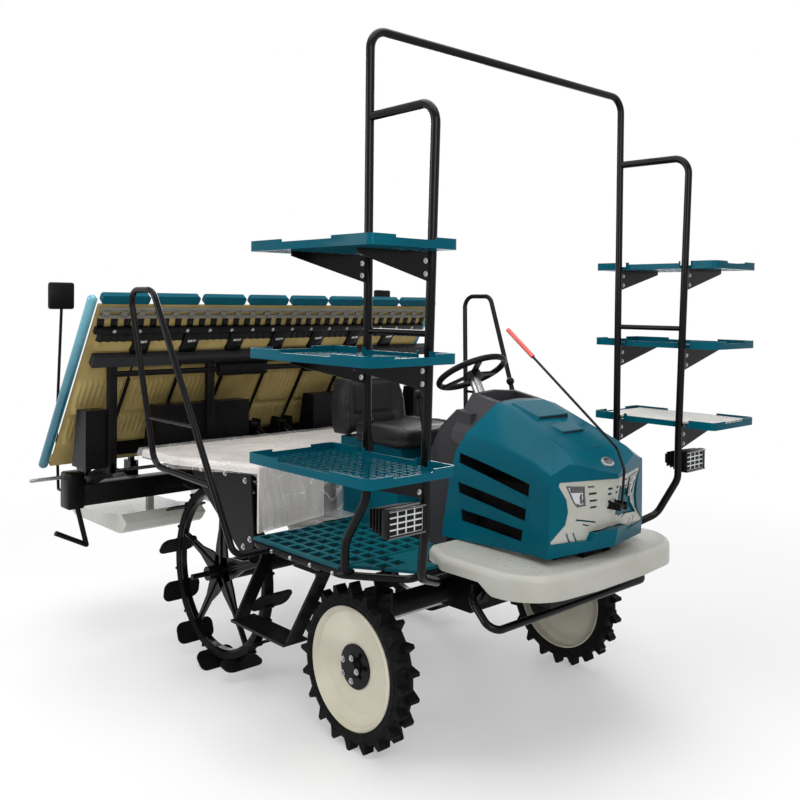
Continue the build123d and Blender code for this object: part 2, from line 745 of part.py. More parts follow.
# Front posts of the racks, with the short top arches and the cross bars
with BuildPart() as rack_fronts:
    for word, side in sides:
        y = side * rack_front_y
        rear = ahead(rack_rear_station) + rack_tube + fit_gap
        top = rack_front_station + rack_front_lean
        bent_bar(
            (
                (ahead(265) + floor_tube + fit_gap, side * 540, floor_tube_z), (ahead(360), side * 540, floor_tube_z),
                (ahead(450), side * 710, 760),
                (ahead(rack_front_station), y, 920), (ahead(rack_front_station), y, 1100),
                (ahead(top), y, rack_side_z), (rear, side * rack_y, rack_side_z),
            ), rack_tube, (60, 80, 80, 90, 70),
        )
        rod((rear, side * rack_y, rack_bar_z), (ahead(front_post(rack_bar_z)), y, rack_bar_z), 11)
save(rack_fronts.part, "rack_fronts")

# Seedling trays: three on each side, shallow with raised lips
for word, side in sides:
    with BuildPart() as trays:
        length, width, depth = tray_size
        centre_y = side * (tray_near_y + width / 2)
        for level in tray_levels:
            with Locations((ahead(tray_station), centre_y, level + depth / 2)):
                Box(length, width, depth)
            with Locations((ahead(tray_station), centre_y, level + depth / 2 + 5)):
                Box(length - 2 * tray_wall, width - 2 * tray_wall, depth, mode=Mode.SUBTRACT)
            with Locations((ahead(tray_station), centre_y, level + depth)):
                Box(length * 0.45, width + 4, 30, mode=Mode.SUBTRACT)
                Box(length + 4, width * 0.5, 26, mode=Mode.SUBTRACT)
            with BuildSketch(Plane.XY.offset(level)):
                with Locations((ahead(tray_station), centre_y)):
                    with GridLocations(90, 70, 5, 3):
                        Rectangle(66, 44)
            extrude(amount=6, mode=Mode.SUBTRACT)
    save(trays.part, f"seedling_trays_{word}")

# Tray brackets: tapered arms from both posts
with BuildPart() as tray_brackets:
    for word, side in sides:
        for level in tray_levels:
            for station, post_y in ((rack_rear_station, rack_y), (front_post(level), rack_front_y)):
                root = side * (post_y + rack_tube + fit_gap)
                tip = side * (tray_near_y + 290)
                arm = Plane(origin=(ahead(station) - 4, 0, 0), x_dir=(0, 1, 0), z_dir=(1, 0, 0))
                with BuildSketch(arm) as web:
                    Polygon(
                        (root, level - fit_gap), (tip, level - fit_gap), (tip, level - 16),
                        (root, level - 95), align=None,
                    )
                extrude(web.sketch, amount=8)
save(tray_brackets.part, "tray_brackets")

# Slatted insert on the left bottom tray
with BuildPart() as tray_insert:
    length, width, depth = tray_size
    base_y = tray_near_y
    base_z = tray_levels[0] + 5 + fit_gap
    block(
        (ahead(tray_station - length / 2 + 30), ahead(tray_station + length / 2 - 30)),
        (base_y + 12, base_y + width - 12), (base_z, base_z + 14),
    )
save(tray_insert.part, "tray_insert")

# Work lamps outboard of the front posts
with BuildPart() as work_lamps:
    for word, side in sides:
        face = Plane(origin=(ahead(551), side * 864, 993), x_dir=(0, 1, 0), z_dir=(1, 0, 0))
        with BuildSketch(face) as front:
            RectangleRounded(160, 94, 10)
        with BuildSketch(face.offset(-30)) as middle:
            RectangleRounded(160, 94, 10)
        with BuildSketch(face.offset(-165)) as tail:
            RectangleRounded(120, 46, 10)
        loft(sections=(front.sketch, middle.sketch), ruled=True)
        loft(sections=(middle.sketch, tail.sketch), ruled=True)
        stay = sorted((side * (rack_front_y + rack_tube + fit_gap), side * 810))
        block((ahead(505), ahead(535)), stay, (985, 1001))
save(work_lamps.part, "work_lamps")

# Levers beside the dashboard and the seat: foot, elbow and grip as (station, Y, Z)
lever_table = (
    ((-20, -215 - fit_gap, 1000), (-20, -240, 1000), (-70, -258, 1310)),
    ((20, 215 + fit_gap, 1000), (20, 240, 1000), (-30, 262, 1340)),
    ((-330, -230 - fit_gap, 900), (-330, -262, 900), (-330, -300, 1180)),
)
with BuildPart() as levers:
    for route in lever_table:
        bent_bar(tuple((ahead(x), y, z) for x, y, z in route), 6, (15,))
        grip = route[-1]
        with Locations((ahead(grip[0]), grip[1], grip[2])):
            Sphere(18)
save(levers.part, "levers")

# Sight rod: pivots at the nose and lies back over the hood
with BuildPart() as sight_rod:
    bent_bar(
        ((ahead(758), 0, 950), (ahead(768), 0, 1085), (ahead(735), 0, 1160), (ahead(325), 0, 1475)),
        5, (40, 60),
    )
    rod((ahead(758), -16, 950), (ahead(758), 16, 950), 8)
save(sight_rod.part, "sight_rod")

with BuildPart() as sight_tip:
    rod((ahead(324.7), 0, 1475.2), (ahead(188), 0, 1580), 9)
save(sight_tip.part, "sight_tip")

# Sight rod bracket on the nose
with BuildPart() as rod_bracket:
    for word, side in sides:
        ear = sorted((side * (16 + fit_gap), side * 22))
        block((ahead(nose_station) + grille_skin + fit_gap, ahead(768)), ear, (936, 964))
save(rod_bracket.part, "rod_bracket")

# Seedling table's slope, from its top edge down to its foot
run = Vector(table_foot[0] - table_top[0], 0, table_foot[1] - table_top[1])
slope_length = run.length
down = run.normalized()


def under_table(along, drop):
    """X and Z of a point along the slope from the table's top, at a drop below its underside."""
    return (
        ahead(table_top[0]) + down.X * along - down.Z * drop,
        table_top[1] + down.Z * along + down.X * drop,
    )


# Lift links: lower pair, upper pair and the cylinder between them
turn = radians(link_angle)
link_dx, link_dz = -link_reach * cos(turn), link_reach * sin(turn)
hitch_x = ahead(hitch_station)
for label, y, base_z, size in (
    ("lower_links", lower_link_y, hitch_lower_z, 20), ("upper_links", upper_link_y, hitch_lower_z + link_rise, 14),
):
    boss = 22 - fit_gap
    with BuildPart() as links:
        for word, side in sides:
            start = (hitch_x, side * y, base_z)
            end = (hitch_x + link_dx, side * y, base_z + link_dz)
            rod(start, end, size)
            for place in (start, end):
                rod((place[0], place[1] - boss, place[2]), (place[0], place[1] + boss, place[2]), size + 8)
        cross = (hitch_x - lift_arm * cos(turn), base_z + lift_arm * sin(turn))
        rod((cross[0], -y, cross[1]), (cross[0], y, cross[1]), size - 4)
    save(links.part, label)

# Lift cylinder: its rod's eye holds the cross tube of the lower links
eye_x, eye_z = hitch_x - lift_arm * cos(turn), hitch_lower_z + lift_arm * sin(turn)
pivot = Vector(ahead(lift_pivot[0]), 0, lift_pivot[1])
reach_line = Vector(eye_x, 0, eye_z) - pivot
push = reach_line.normalized()
with BuildPart() as lift_barrel:
    rod(tuple(pivot), tuple(pivot + push * 205), 26)
    rod(tuple(pivot - Vector(0, 30 - fit_gap, 0)), tuple(pivot + Vector(0, 30 - fit_gap, 0)), 24)
    rod(tuple(pivot + push * 36), tuple(pivot + push * 206), lift_bore, mode=Mode.SUBTRACT)
save(lift_barrel.part, "lift_barrel")

with BuildPart() as lift_rod:
    rod(tuple(pivot + push * 40), tuple(pivot + push * (reach_line.length - 34)), lift_bore - fit_gap)
    rod((eye_x, -20, eye_z), (eye_x, 20, eye_z), 36)
    rod((eye_x, -21, eye_z), (eye_x, 21, eye_z), 24, mode=Mode.SUBTRACT)
save(lift_rod.part, "lift_rod")

# Planting frame: main beam, mast and table posts
mast_x = hitch_x + link_dx
mast_low = hitch_lower_z + link_dz
with BuildPart() as planting_frame:
    beam_x = ahead(beam_station)
    block(
        (beam_x - beam_size / 2, beam_x + beam_size / 2), (-beam_half_length, beam_half_length),
        (beam_z - beam_size / 2, beam_z + beam_size / 2),
    )
    for word, side in sides:
        for inner in (lower_link_y, upper_link_y):
            ears = sorted((side * (inner - 34), side * (inner - 22)))
            side_plate(
                (
                    (beam_x, beam_z), (mast_x + 28, mast_low - 28), (mast_x + 28, mast_low + link_rise + 28),
                    (mast_x - 40, mast_low + link_rise + 28), (beam_x, beam_z + 90),
                ), ears,
            )
    # plates carry the table's two rails, which lie along its underside
    beam_top = beam_z + beam_size / 2
    for y in (-830, -400, 400, 830):
        side_plate(
            (
                (ahead(beam_station - 10), beam_top - 5), (ahead(beam_station + 90), beam_top - 5),
                (ahead(beam_station + 130), 1040), under_table(330, 85), under_table(275, 85),
                under_table(275, 30), under_table(560, 41), (ahead(beam_station + 60), 1040),
            ), (y - 8, y + 8),
        )
        side_plate(
            (
                (ahead(beam_station - 40), beam_top - 5), (ahead(beam_station + 5), beam_top - 5),
                under_table(840, 30), under_table(890, 30),
            ), (y - 8, y + 8),
        )
    guide_x, guide_z = ahead(beam_station - 22), beam_top + 38
    rod(
        (guide_x, -guide_rod_half_length, guide_z), (guide_x, guide_rod_half_length, guide_z),
        guide_rod_radius + fit_gap, mode=Mode.SUBTRACT,
    )
    for near, far in ((270, 325), (835, 890)):
        side_plate(
            (
                under_table(near, fit_gap), under_table(far, fit_gap), under_table(far, 40),
                under_table(near, 40),
            ), (-table_rail_half_length, table_rail_half_length),
        )
save(planting_frame.part, "planting_frame")

# Planting cases behind the beam, one between each pair of rows
case_lanes = tuple((number - (row_count / 2 - 1) / 2) * 2 * row_pitch for number in range(row_count // 2))
with BuildPart() as planting_cases:
    for y in case_lanes:
        side_plate(
            (
                (beam_x - beam_size / 2 - fit_gap, beam_z + 45), (beam_x - beam_size / 2 - fit_gap, beam_z - 45),
                (ahead(rotor_station - 40), rotor_z - 40), (ahead(rotor_station - 40), rotor_z + 40),
                (ahead(rotor_station + 60), rotor_z + 42),
            ), (y - 35, y + 35),
        )
        rod(
            (ahead(rotor_station), y - 60, rotor_z), (ahead(rotor_station), y + 60, rotor_z), rotor_shaft + fit_gap,
            mode=Mode.SUBTRACT,
        )
save(planting_cases.part, "planting_cases")

# Planting rotors: one at each row, two arms with a claw each, all on one line
with BuildPart() as planting_rotors:
    rotor_x = ahead(rotor_station)
    for y in case_lanes:
        rod((rotor_x, y - row_pitch / 2 - 20, rotor_z), (rotor_x, y + row_pitch / 2 + 20, rotor_z), rotor_shaft)
        for row in (y - row_pitch / 2, y + row_pitch / 2):
            block((rotor_x - 38, rotor_x + 38), (row - 22, row + 22), (rotor_z - 70, rotor_z + 70))
            for end in (-1, 1):
                block(
                    (rotor_x - 14, rotor_x + 14), (row - 12, row + 12),
                    tuple(sorted((rotor_z + end * 60, rotor_z + end * rotor_reach))),
                )
save(planting_rotors.part, "planting_rotors")

# Floats under the planting section
with BuildPart() as floats:
    for y, width in ((0, 300), (-625, 420), (625, 420)):
        side_plate(
            (
                (ahead(-1500), float_bottom_z + 60), (ahead(-1560), float_bottom_z), (ahead(-2120), float_bottom_z),
                (ahead(-2150), float_bottom_z + 26), (ahead(-2150), float_bottom_z + 50),
                (ahead(-1800), float_bottom_z + 62), (ahead(-1560), float_bottom_z + 95),
            ), (y - width / 2, y + width / 2),
        )
        block((beam_x - 15, beam_x + 15), (y - 15, y + 15), (float_bottom_z + 70, beam_z - beam_size / 2 - fit_gap))
save(floats.part, "floats")

# Guide rod through the plates, its ends proud of the frame
with BuildPart() as guide_rod:
    rod((guide_x, -guide_rod_half_length, guide_z), (guide_x, guide_rod_half_length, guide_z), guide_rod_radius)
save(guide_rod.part, "guide_rod")

# Seedling table: tilted bed with lane ribs and a lip at its foot
bed = Plane(origin=(ahead(table_top[0]), table_shift, table_top[1]), x_dir=tuple(down), z_dir=(down.Z, 0, -down.X))
with BuildPart() as seedling_table:
    with BuildSketch(bed):
        with Locations((slope_length / 2, 0)):
            Rectangle(slope_length, 2 * table_half_width)
    extrude(amount=10)
    with BuildSketch(bed.offset(8)):
        with Locations((slope_length / 2 + 20, 0)):
            with GridLocations(1, row_pitch, 1, row_count - 1):
                Rectangle(slope_length - 40, 8)
    extrude(amount=40)
    with BuildSketch(bed):
        with Locations((slope_length - 5, 0)):
            Rectangle(10, 2 * table_half_width)
    extrude(amount=70)
save(seedling_table.part, "seedling_table")

# Side plates of the table
with BuildPart() as table_ends:
    for word, side in sides:
        inner = table_shift + side * (table_half_width + fit_gap)
        side_plate(
            (under_table(0, 20), under_table(0, -70), under_table(slope_length, -70), under_table(slope_length, 20)),
            sorted((inner, inner + side * 14)),
        )
save(table_ends.part, "table_ends")

# Extension flaps along the table's top edge, one for each row
with BuildPart() as table_flaps:
    with BuildSketch(bed.offset(4)):
        with Locations((-22 - fit_gap, 0)):
            with GridLocations(1, row_pitch, 1, row_count):
                RectangleRounded(44, row_pitch - 26, 12)
    extrude(amount=30)
save(table_flaps.part, "table_flaps")

# Marker lamps on stalks at both ends of the planting frame
with BuildPart() as marker_lamps:
    for word, side in sides:
        bent_bar(
            (
                (ahead(beam_station + 20), side * (beam_half_length + fit_gap), beam_z),
                (ahead(beam_station + 20), side * marker_y, beam_z), (ahead(-1640), side * marker_y, 1350),
                (ahead(-1700), side * marker_y, 1620),
            ), 7, (60, 200),
        )
        block((ahead(-1725), ahead(-1680)), tuple(sorted((side * (marker_y - 10), side * (marker_y + 40)))), (1615, 1725))
save(marker_lamps.part, "marker_lamps")
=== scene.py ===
# %% [markdown]
# A ride-on rice transplanter, dressed for a studio picture. The solids come from the packed
# frame and stay where they are. This file gives each one its finish, puts finer outer forms in
# the place of the plainer solids, adds the soft seat, the clear film over the rear deck, lenses,
# bolts and plates, and sets up floor, light and camera.

import json
import math

import bmesh
import bpy
from mathutils import Matrix, Vector, noise

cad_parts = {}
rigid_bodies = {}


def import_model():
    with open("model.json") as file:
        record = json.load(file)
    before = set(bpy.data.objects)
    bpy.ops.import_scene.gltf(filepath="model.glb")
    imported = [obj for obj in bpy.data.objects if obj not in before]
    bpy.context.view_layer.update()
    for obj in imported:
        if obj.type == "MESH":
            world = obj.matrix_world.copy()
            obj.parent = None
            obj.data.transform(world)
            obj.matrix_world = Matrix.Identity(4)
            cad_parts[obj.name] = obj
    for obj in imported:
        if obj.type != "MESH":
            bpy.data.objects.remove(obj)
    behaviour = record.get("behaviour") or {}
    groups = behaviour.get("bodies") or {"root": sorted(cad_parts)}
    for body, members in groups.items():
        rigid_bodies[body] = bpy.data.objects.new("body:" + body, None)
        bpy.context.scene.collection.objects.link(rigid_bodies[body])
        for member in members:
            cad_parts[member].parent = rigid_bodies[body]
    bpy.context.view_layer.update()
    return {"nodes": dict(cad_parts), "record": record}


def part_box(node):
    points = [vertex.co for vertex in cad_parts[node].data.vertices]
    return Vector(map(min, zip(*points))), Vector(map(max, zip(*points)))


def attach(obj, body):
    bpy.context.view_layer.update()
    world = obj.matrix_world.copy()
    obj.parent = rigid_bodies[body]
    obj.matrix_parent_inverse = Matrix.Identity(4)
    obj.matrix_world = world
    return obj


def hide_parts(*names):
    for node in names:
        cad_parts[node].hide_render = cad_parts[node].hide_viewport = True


for leftover in list(bpy.data.objects):
    bpy.data.objects.remove(leftover)
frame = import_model()
nodes = frame["nodes"]
print("solids loaded:", len(nodes))

# %% [markdown]
# Camera. The picture was taken from the machine's front right, a little above the hood and
# almost level. Pairs of points that the machine has on both sides gave the place and the lens.
# The picture is cropped off centre, so the lens is shifted and not turned.

# %% Camera
PHOTO = 800
FOCAL_PX = 913.06
CENTRE_PX = (450.0, 316.66)
EYE = Vector((3.3904, -2.7801, 1.6829))
YAW, PITCH, ROLL = (math.radians(a) for a in (45.706, 0.802, 0.618))


def camera_turn():
    """Columns are the camera's right, up and back directions."""
    forward = Vector((-math.sin(YAW) * math.cos(PITCH), math.cos(YAW) * math.cos(PITCH), -math.sin(PITCH)))
    right = Vector((math.cos(YAW), math.sin(YAW), 0))
    up = right.cross(forward)
    turned_right = right * math.cos(ROLL) + up * math.sin(ROLL)
    turned_up = up * math.cos(ROLL) - right * math.sin(ROLL)
    return Matrix((turned_right, turned_up, -forward)).transposed()


lens = bpy.data.cameras.new("camera")
lens.sensor_width = 36
lens.lens = FOCAL_PX / PHOTO * lens.sensor_width
lens.shift_x = 0.5 - CENTRE_PX[0] / PHOTO
lens.shift_y = CENTRE_PX[1] / PHOTO - 0.5
camera = bpy.data.objects.new("camera", lens)
camera.matrix_world = Matrix.Translation(EYE) @ camera_turn().to_4x4()
bpy.context.scene.collection.objects.link(camera)
bpy.context.scene.camera = camera
print("lens in mm:", round(lens.lens, 2))

# %% [markdown]
# Finishes. Every finish is a small node tree on Object coordinates. A class starts the tree and
# hands back what the finish needs: noise patches, colour blends and bumps. Painted and moulded
# surfaces share one function, and each other finish has its own, named for what it covers.

# %% Finish helpers


class Finish:
    """A material under construction, with its Principled shader and Object coordinates."""

    def __init__(self, name, **sockets):
        self.material = bpy.data.materials.new(name)
        self.material.use_nodes = True
        self.tree = self.material.node_tree
        self.shader = self.tree.nodes["Principled BSDF"]
        self.place = self.node("TexCoord").outputs["Object"]
        for socket, value in sockets.items():
            self.feed(self.shader.inputs[socket.replace("_", " ")], value)

    def feed(self, socket, value):
        """Link a value that comes from a socket, or set a plain one."""
        if isinstance(value, bpy.types.NodeSocket):
            self.tree.links.new(value, socket)
        else:
            socket.default_value = value

    def node(self, kind, operation=None, **inputs):
        """A new node; an underscore in an input's name stands for a space."""
        made = self.tree.nodes.new("ShaderNode" + kind)
        if operation:
            made.operation = operation
        for socket, value in inputs.items():
            self.feed(made.inputs[socket.replace("_", " ")], value)
        return made

    def grain(self, scale, detail=4, rough=0.55):
        """Soft noise patches of about 1/scale metres."""
        made = self.node("TexNoise", Scale=scale, Detail=detail, Roughness=rough, Vector=self.place)
        return made.outputs["Fac"]

    def cells(self, scale, feature="F1"):
        """Pebble cells of about 1/scale metres."""
        made = self.node("TexVoronoi", Scale=scale, Vector=self.place)
        made.feature = feature
        return made.outputs["Distance"]

    def span(self, value, low, high, to_low=0.0, to_high=1.0):
        """Stretch a value's range low to high onto another range."""
        ranges = {"From_Min": low, "From_Max": high, "To_Min": to_low, "To_Max": to_high}
        return self.node("MapRange", Value=value, **ranges).outputs["Result"]

    def maths(self, operation, first, second):
        """One maths step on two values, each a number or a socket."""
        made = self.node("Math", operation)
        self.feed(made.inputs[0], first)
        self.feed(made.inputs[1], second)
        return made.outputs["Value"]

    def distance_along(self, direction, origin=(0, 0, 0)):
        """Metres from an origin along a direction."""
        moved = self.node("VectorMath", "SUBTRACT", Vector=self.place)
        moved.inputs[1].default_value = origin
        dot = self.node("VectorMath", "DOT_PRODUCT", Vector=moved.outputs["Vector"])
        dot.inputs[1].default_value = direction
        return dot.outputs["Value"]

    def between(self, value, low, high):
        """1 where a value lies between low and high, else 0."""
        above = self.maths("GREATER_THAN", value, low)
        return self.maths("MULTIPLY", above, self.maths("LESS_THAN", value, high))

    def colours(self, value, first, second):
        """Blend two colours by a value."""
        made = self.node("Mix")
        made.data_type = "RGBA"
        self.feed(made.inputs[0], value)
        for name, tone in (("A", first), ("B", second)):
            socket = [i for i in made.inputs if i.name == name and i.type == "RGBA"][0]
            self.feed(socket, tone if isinstance(tone, bpy.types.NodeSocket) else (*tone, 1))
        return [o for o in made.outputs if o.type == "RGBA"][0]

    def paint(self, value, first, second):
        self.feed(self.shader.inputs["Base Color"], self.colours(value, first, second))

    def gloss(self, scale, detail, low, high):
        """Roughness that drifts from low to high over patches of about 1/scale metres."""
        drift = self.span(self.grain(scale, detail), 0.3, 0.7, low, high)
        self.feed(self.shader.inputs["Roughness"], drift)

    def bump(self, height, distance, strength=1.0, below=None):
        """Relief of the given depth in metres, over another relief if one is handed in."""
        made = self.node("Bump", Distance=distance, Strength=strength, Height=height)
        if below is not None:
            self.feed(made.inputs["Normal"], below)
        self.feed(self.shader.inputs["Normal"], made.outputs["Normal"])
        return made.outputs["Normal"]


def moulded(name, tone, deeper, rough, grain_depth=0.00004, **sockets):
    """Moulded or painted: a broad drift of tone, fine grain and a little unevenness in gloss."""
    finish = Finish(name, **sockets)
    drift = finish.span(finish.grain(3.5, 3), 0.35, 0.65)
    finish.paint(drift, tone, deeper)
    finish.gloss(28, 5, rough * 0.85, rough * 1.2)
    wavy = finish.bump(finish.grain(9, 2), 0.0006, 0.25)
    finish.bump(finish.grain(900, 3), grain_depth, 0.5, below=wavy)
    return finish


# %% [markdown]
# The hood, the trays and the table's side tubes are glossy teal. The real colour is a deep
# blue-green that stays deep even in a white studio, so its specular level is low, and it is
# smooth enough for sharp streaks of light along its creases.

# %% Teal gloss
teal = moulded(
    "teal_gloss", (0.0015, 0.085, 0.124), (0.0010, 0.068, 0.100), 0.16, Specular_IOR_Level=0.045)

# %% [markdown]
# Cream mouldings: the deck round the hood, the grille and the rear deck. They are plain plastic, smooth,
# slightly warm, with faint clouding. One cream is given in two copies: darker with painted shade for the deck
# round the hood and the grille, paler with painted light for the rear deck.

# %% Cream mouldings
cream, deck_cream_painted_light, wheel_cream = (moulded(*row, Specular_IOR_Level=0.25) for row in (
    # Painted shade: the cream of the grille and the deck round the hood is darkened as if in shadow.
    ("cream_moulding_painted_shade", (0.41, 0.41, 0.375), (0.36, 0.355, 0.31), 0.3),
    # Painted light: the rear deck's cream is paler, as on its lit top.
    ("deck_cream_painted_light", (0.70, 0.655, 0.625), (0.62, 0.58, 0.55), 0.35),
    ("wheel_cream", (0.59, 0.565, 0.47), (0.52, 0.49, 0.385), 0.35),
))

# %% [markdown]
# Black parts. Tubes and plates are gloss black powder coat with a faint orange peel. Cast cases
# are duller and pitted. Mouldings have a fine spark grain. In a white studio a black part shows
# the white room as soon as it is shiny, so the specular level stays low.

# %% Blacks
tube_black = moulded(
    "tube_black", (0.0045, 0.0045, 0.005), (0.003, 0.003, 0.0035), 0.16, Specular_IOR_Level=0.12)
moulded_black = moulded(
    "moulded_black", (0.006, 0.006, 0.0065), (0.004, 0.004, 0.0045), 0.38, 0.00012, Specular_IOR_Level=0.09)
dash_grey = moulded(
    "dash_grey", (0.030, 0.030, 0.034), (0.022, 0.022, 0.026), 0.42, 0.00015, Specular_IOR_Level=0.15)


def cast_black():
    finish = Finish("cast_black", Specular_IOR_Level=0.07)
    dust = finish.span(finish.grain(14, 6), 0.5, 0.8)
    finish.paint(dust, (0.004, 0.004, 0.0045), (0.012, 0.012, 0.011))
    finish.gloss(60, 4, 0.38, 0.6)
    finish.bump(finish.grain(350, 4), 0.0004, 0.4)
    return finish


cast = cast_black()

# %% [markdown]
# Rubber of the tyres and the rear lugs: nearly black, dry, a little paler where mould dust sits
# on the flanks.

# %% Rubber


def tyre_rubber():
    finish = Finish("tyre_rubber", Specular_IOR_Level=0.06)
    dust = finish.span(finish.grain(18, 6, 0.7), 0.5, 0.85)
    finish.paint(dust, (0.0045, 0.0045, 0.0045), (0.016, 0.015, 0.014))
    finish.gloss(45, 4, 0.5, 0.75)
    pores = finish.bump(finish.grain(260, 5), 0.0005, 0.35)
    finish.bump(finish.cells(700), 0.0002, 0.3, below=pores)
    return finish


rubber = tyre_rubber()

# %% [markdown]
# Floor mats are an open teal lattice. The seat is black vinyl with a leather grain.

# %% Mats and vinyl
mat_teal = moulded(
    "mat_teal", (0.002, 0.085, 0.105), (0.0015, 0.06, 0.078), 0.42, 0.0002, Specular_IOR_Level=0.12)


def seat_vinyl():
    finish = Finish("seat_vinyl", Specular_IOR_Level=0.14)
    finish.paint(finish.grain(30, 4), (0.008, 0.008, 0.009), (0.014, 0.014, 0.015))
    finish.gloss(120, 4, 0.34, 0.48)
    creases = finish.bump(finish.cells(420, "DISTANCE_TO_EDGE"), 0.0004, 0.35)
    finish.bump(finish.grain(1400, 3), 0.0001, 0.4, below=creases)
    return finish


vinyl = seat_vinyl()

# %% [markdown]
# The seedling table slopes down to the rear, so its underside faces the camera. Down is the
# direction down the slope and Out the one that leaves the underside. A finish can tell from them
# how far down the slope a point is and how far it stands off, so the rail, the bar and the panels
# of one solid get colours of their own.

# %% The table's directions
TABLE_TOP = Vector((-0.5575, -0.085, 1.663))
DOWN = Vector((-0.545, 0, -0.784)).normalized()
OUT = Vector((-DOWN.z, 0, DOWN.x))


def table_cream_painted_shade():
    finish = Finish("table_cream_painted_shade", Specular_IOR_Level=0.15)
    drift = finish.span(finish.grain(5, 4), 0.35, 0.65)
    # Painted shade and reflection: the cream underside is given the tan that it shows in shadow.
    tone = finish.colours(drift, (0.40, 0.305, 0.12), (0.29, 0.215, 0.075))
    down = finish.distance_along(DOWN, TABLE_TOP)
    off = finish.distance_along(OUT, TABLE_TOP)
    raised = finish.maths("GREATER_THAN", off, 0.0005)
    rail = finish.maths("MULTIPLY", raised, finish.between(down, -0.01, 0.09))
    bar = finish.maths("MULTIPLY", raised, finish.between(down, 0.09, 0.2))
    tone = finish.colours(rail, tone, (0.17, 0.165, 0.14))
    finish.paint(bar, tone, (0.004, 0.004, 0.004))
    finish.gloss(50, 4, 0.32, 0.5)
    finish.bump(finish.grain(30, 3), 0.0006, 0.4)
    return finish


def frame_paint():
    """Gloss black for the planting frame with its upper beam in dark grey."""
    finish = Finish("frame_paint", Specular_IOR_Level=0.10)
    down = finish.distance_along(DOWN, TABLE_TOP)
    off = finish.distance_along(OUT, TABLE_TOP)
    band = finish.between(down, 0.2695, 0.3255)
    beam = finish.maths("MULTIPLY", band, finish.between(off, -0.01, 0.0405))
    finish.paint(beam, (0.004, 0.004, 0.0045), (0.024, 0.025, 0.028))
    finish.gloss(40, 4, 0.25, 0.36)
    finish.bump(finish.grain(500, 3), 0.0001, 0.4)
    return finish


def side_tube_painted_reflection():
    """The table's side tubes are teal, with painted reflection that turns them pale blue towards the top."""
    finish = Finish("side_tube_painted_reflection", Coat_Weight=0.5, Coat_Roughness=0.06)
    height = finish.distance_along((0, 0, 1))
    drift = finish.maths("ADD", height, finish.span(finish.grain(14, 3), 0.3, 0.7, -0.05, 0.05))
    # Painted reflection: the higher a point of the tube, the paler blue it is painted.
    finish.paint(finish.span(drift, 1.2, 1.68), (0.005, 0.11, 0.17), (0.10, 0.34, 0.43))
    finish.gloss(40, 4, 0.2, 0.3)
    finish.bump(finish.grain(200, 3), 0.0002, 0.3)
    return finish


table_tan_painted_shade = table_cream_painted_shade()
planting_black = frame_paint()
tube_blue_painted_reflection = side_tube_painted_reflection()

# %% [markdown]
# Bare metal parts: the guide rod, the lift rod and small fittings are plated and lightly brushed.
# The float is a pale grey moulding. The sight rod's grip is red, and the tray's slats are white.

# %% Metal, float, grip and slats


def plated_steel():
    finish = Finish("plated_steel", Metallic=1.0, Specular_IOR_Level=0.5)
    finish.paint(finish.grain(40, 4), (0.50, 0.50, 0.50), (0.36, 0.36, 0.37))
    finish.gloss(160, 5, 0.18, 0.34)
    finish.bump(finish.grain(500, 3), 0.00008, 0.4)
    return finish


steel = plated_steel()
float_grey = moulded(
    "float_grey", (0.46, 0.46, 0.43), (0.36, 0.36, 0.32), 0.3, Coat_Weight=0.4, Coat_Roughness=0.1)
grip_red = moulded(
    "grip_red", (0.62, 0.022, 0.010), (0.48, 0.014, 0.008), 0.3, Coat_Weight=0.4, Coat_Roughness=0.1)
slat_white = moulded(
    "slat_white", (0.70, 0.69, 0.66), (0.62, 0.60, 0.56), 0.35, Coat_Weight=0.2, Coat_Roughness=0.2)

# %% [markdown]
# Each solid names its slot in the imported record, so one table gives every solid its finish. The rear deck
# has a finish of its own: the same cream as the other mouldings, made paler as painted light, while theirs is
# darkened as painted shade.

# %% Dress the solids
FINISH_OF_SLOT = {
    "black_steel": tube_black, "cast_case": cast, "teal_plastic": teal, "cream_plastic": cream,
    "black_plastic": moulded_black, "floor_mat": mat_teal, "seat_vinyl": vinyl,
    "steering_rim": moulded_black, "tyre_rubber": rubber, "cream_wheel": wheel_cream,
    "wheel_hub": tube_black, "bright_steel": steel, "link_steel": tube_black, "grey_float": float_grey,
    "tan_table": table_tan_painted_shade, "sight_orange": grip_red, "sight_dark": tube_black,
}
OWN_FINISH = {"rear_deck": deck_cream_painted_light}
for part in frame["record"]["subparts"]:
    materials = nodes[part["node"]].data.materials
    materials.clear()
    materials.append(OWN_FINISH.get(part["node"], FINISH_OF_SLOT[part["material_slot"]]).material)
print("finishes:", len(FINISH_OF_SLOT) + len(OWN_FINISH))

# %% [markdown]
# The pieces that follow are made with bmesh. Small helpers stand bars, plates, discs and bolts in a mesh, and
# turn it into an object with a finish and the body that it rides on. Places are in millimetres where the
# helper at gives them, else in metres.

# %% Shape helpers
FRONT_AXLE_X = 0.6925
SIDES = ((-1, "right"), (1, "left"))


def ahead(mm):
    """World X in metres of a station ahead of the front axle in millimetres."""
    return FRONT_AXLE_X + mm / 1000


def at(station, y, z):
    """A place from a station, a distance to the left and a height, all in millimetres."""
    return Vector((ahead(station), y / 1000, z / 1000))


def placed(name, mesh):
    """A bare object of a mesh, in the scene."""
    data = bpy.data.meshes.new(name)
    mesh.to_mesh(data)
    mesh.free()
    made = bpy.data.objects.new(name, data)
    bpy.context.scene.collection.objects.link(made)
    return made


def evaluated(piece):
    """The mesh data of an object after its modifiers."""
    graph = bpy.context.evaluated_depsgraph_get()
    return bpy.data.meshes.new_from_object(piece.evaluated_get(graph))


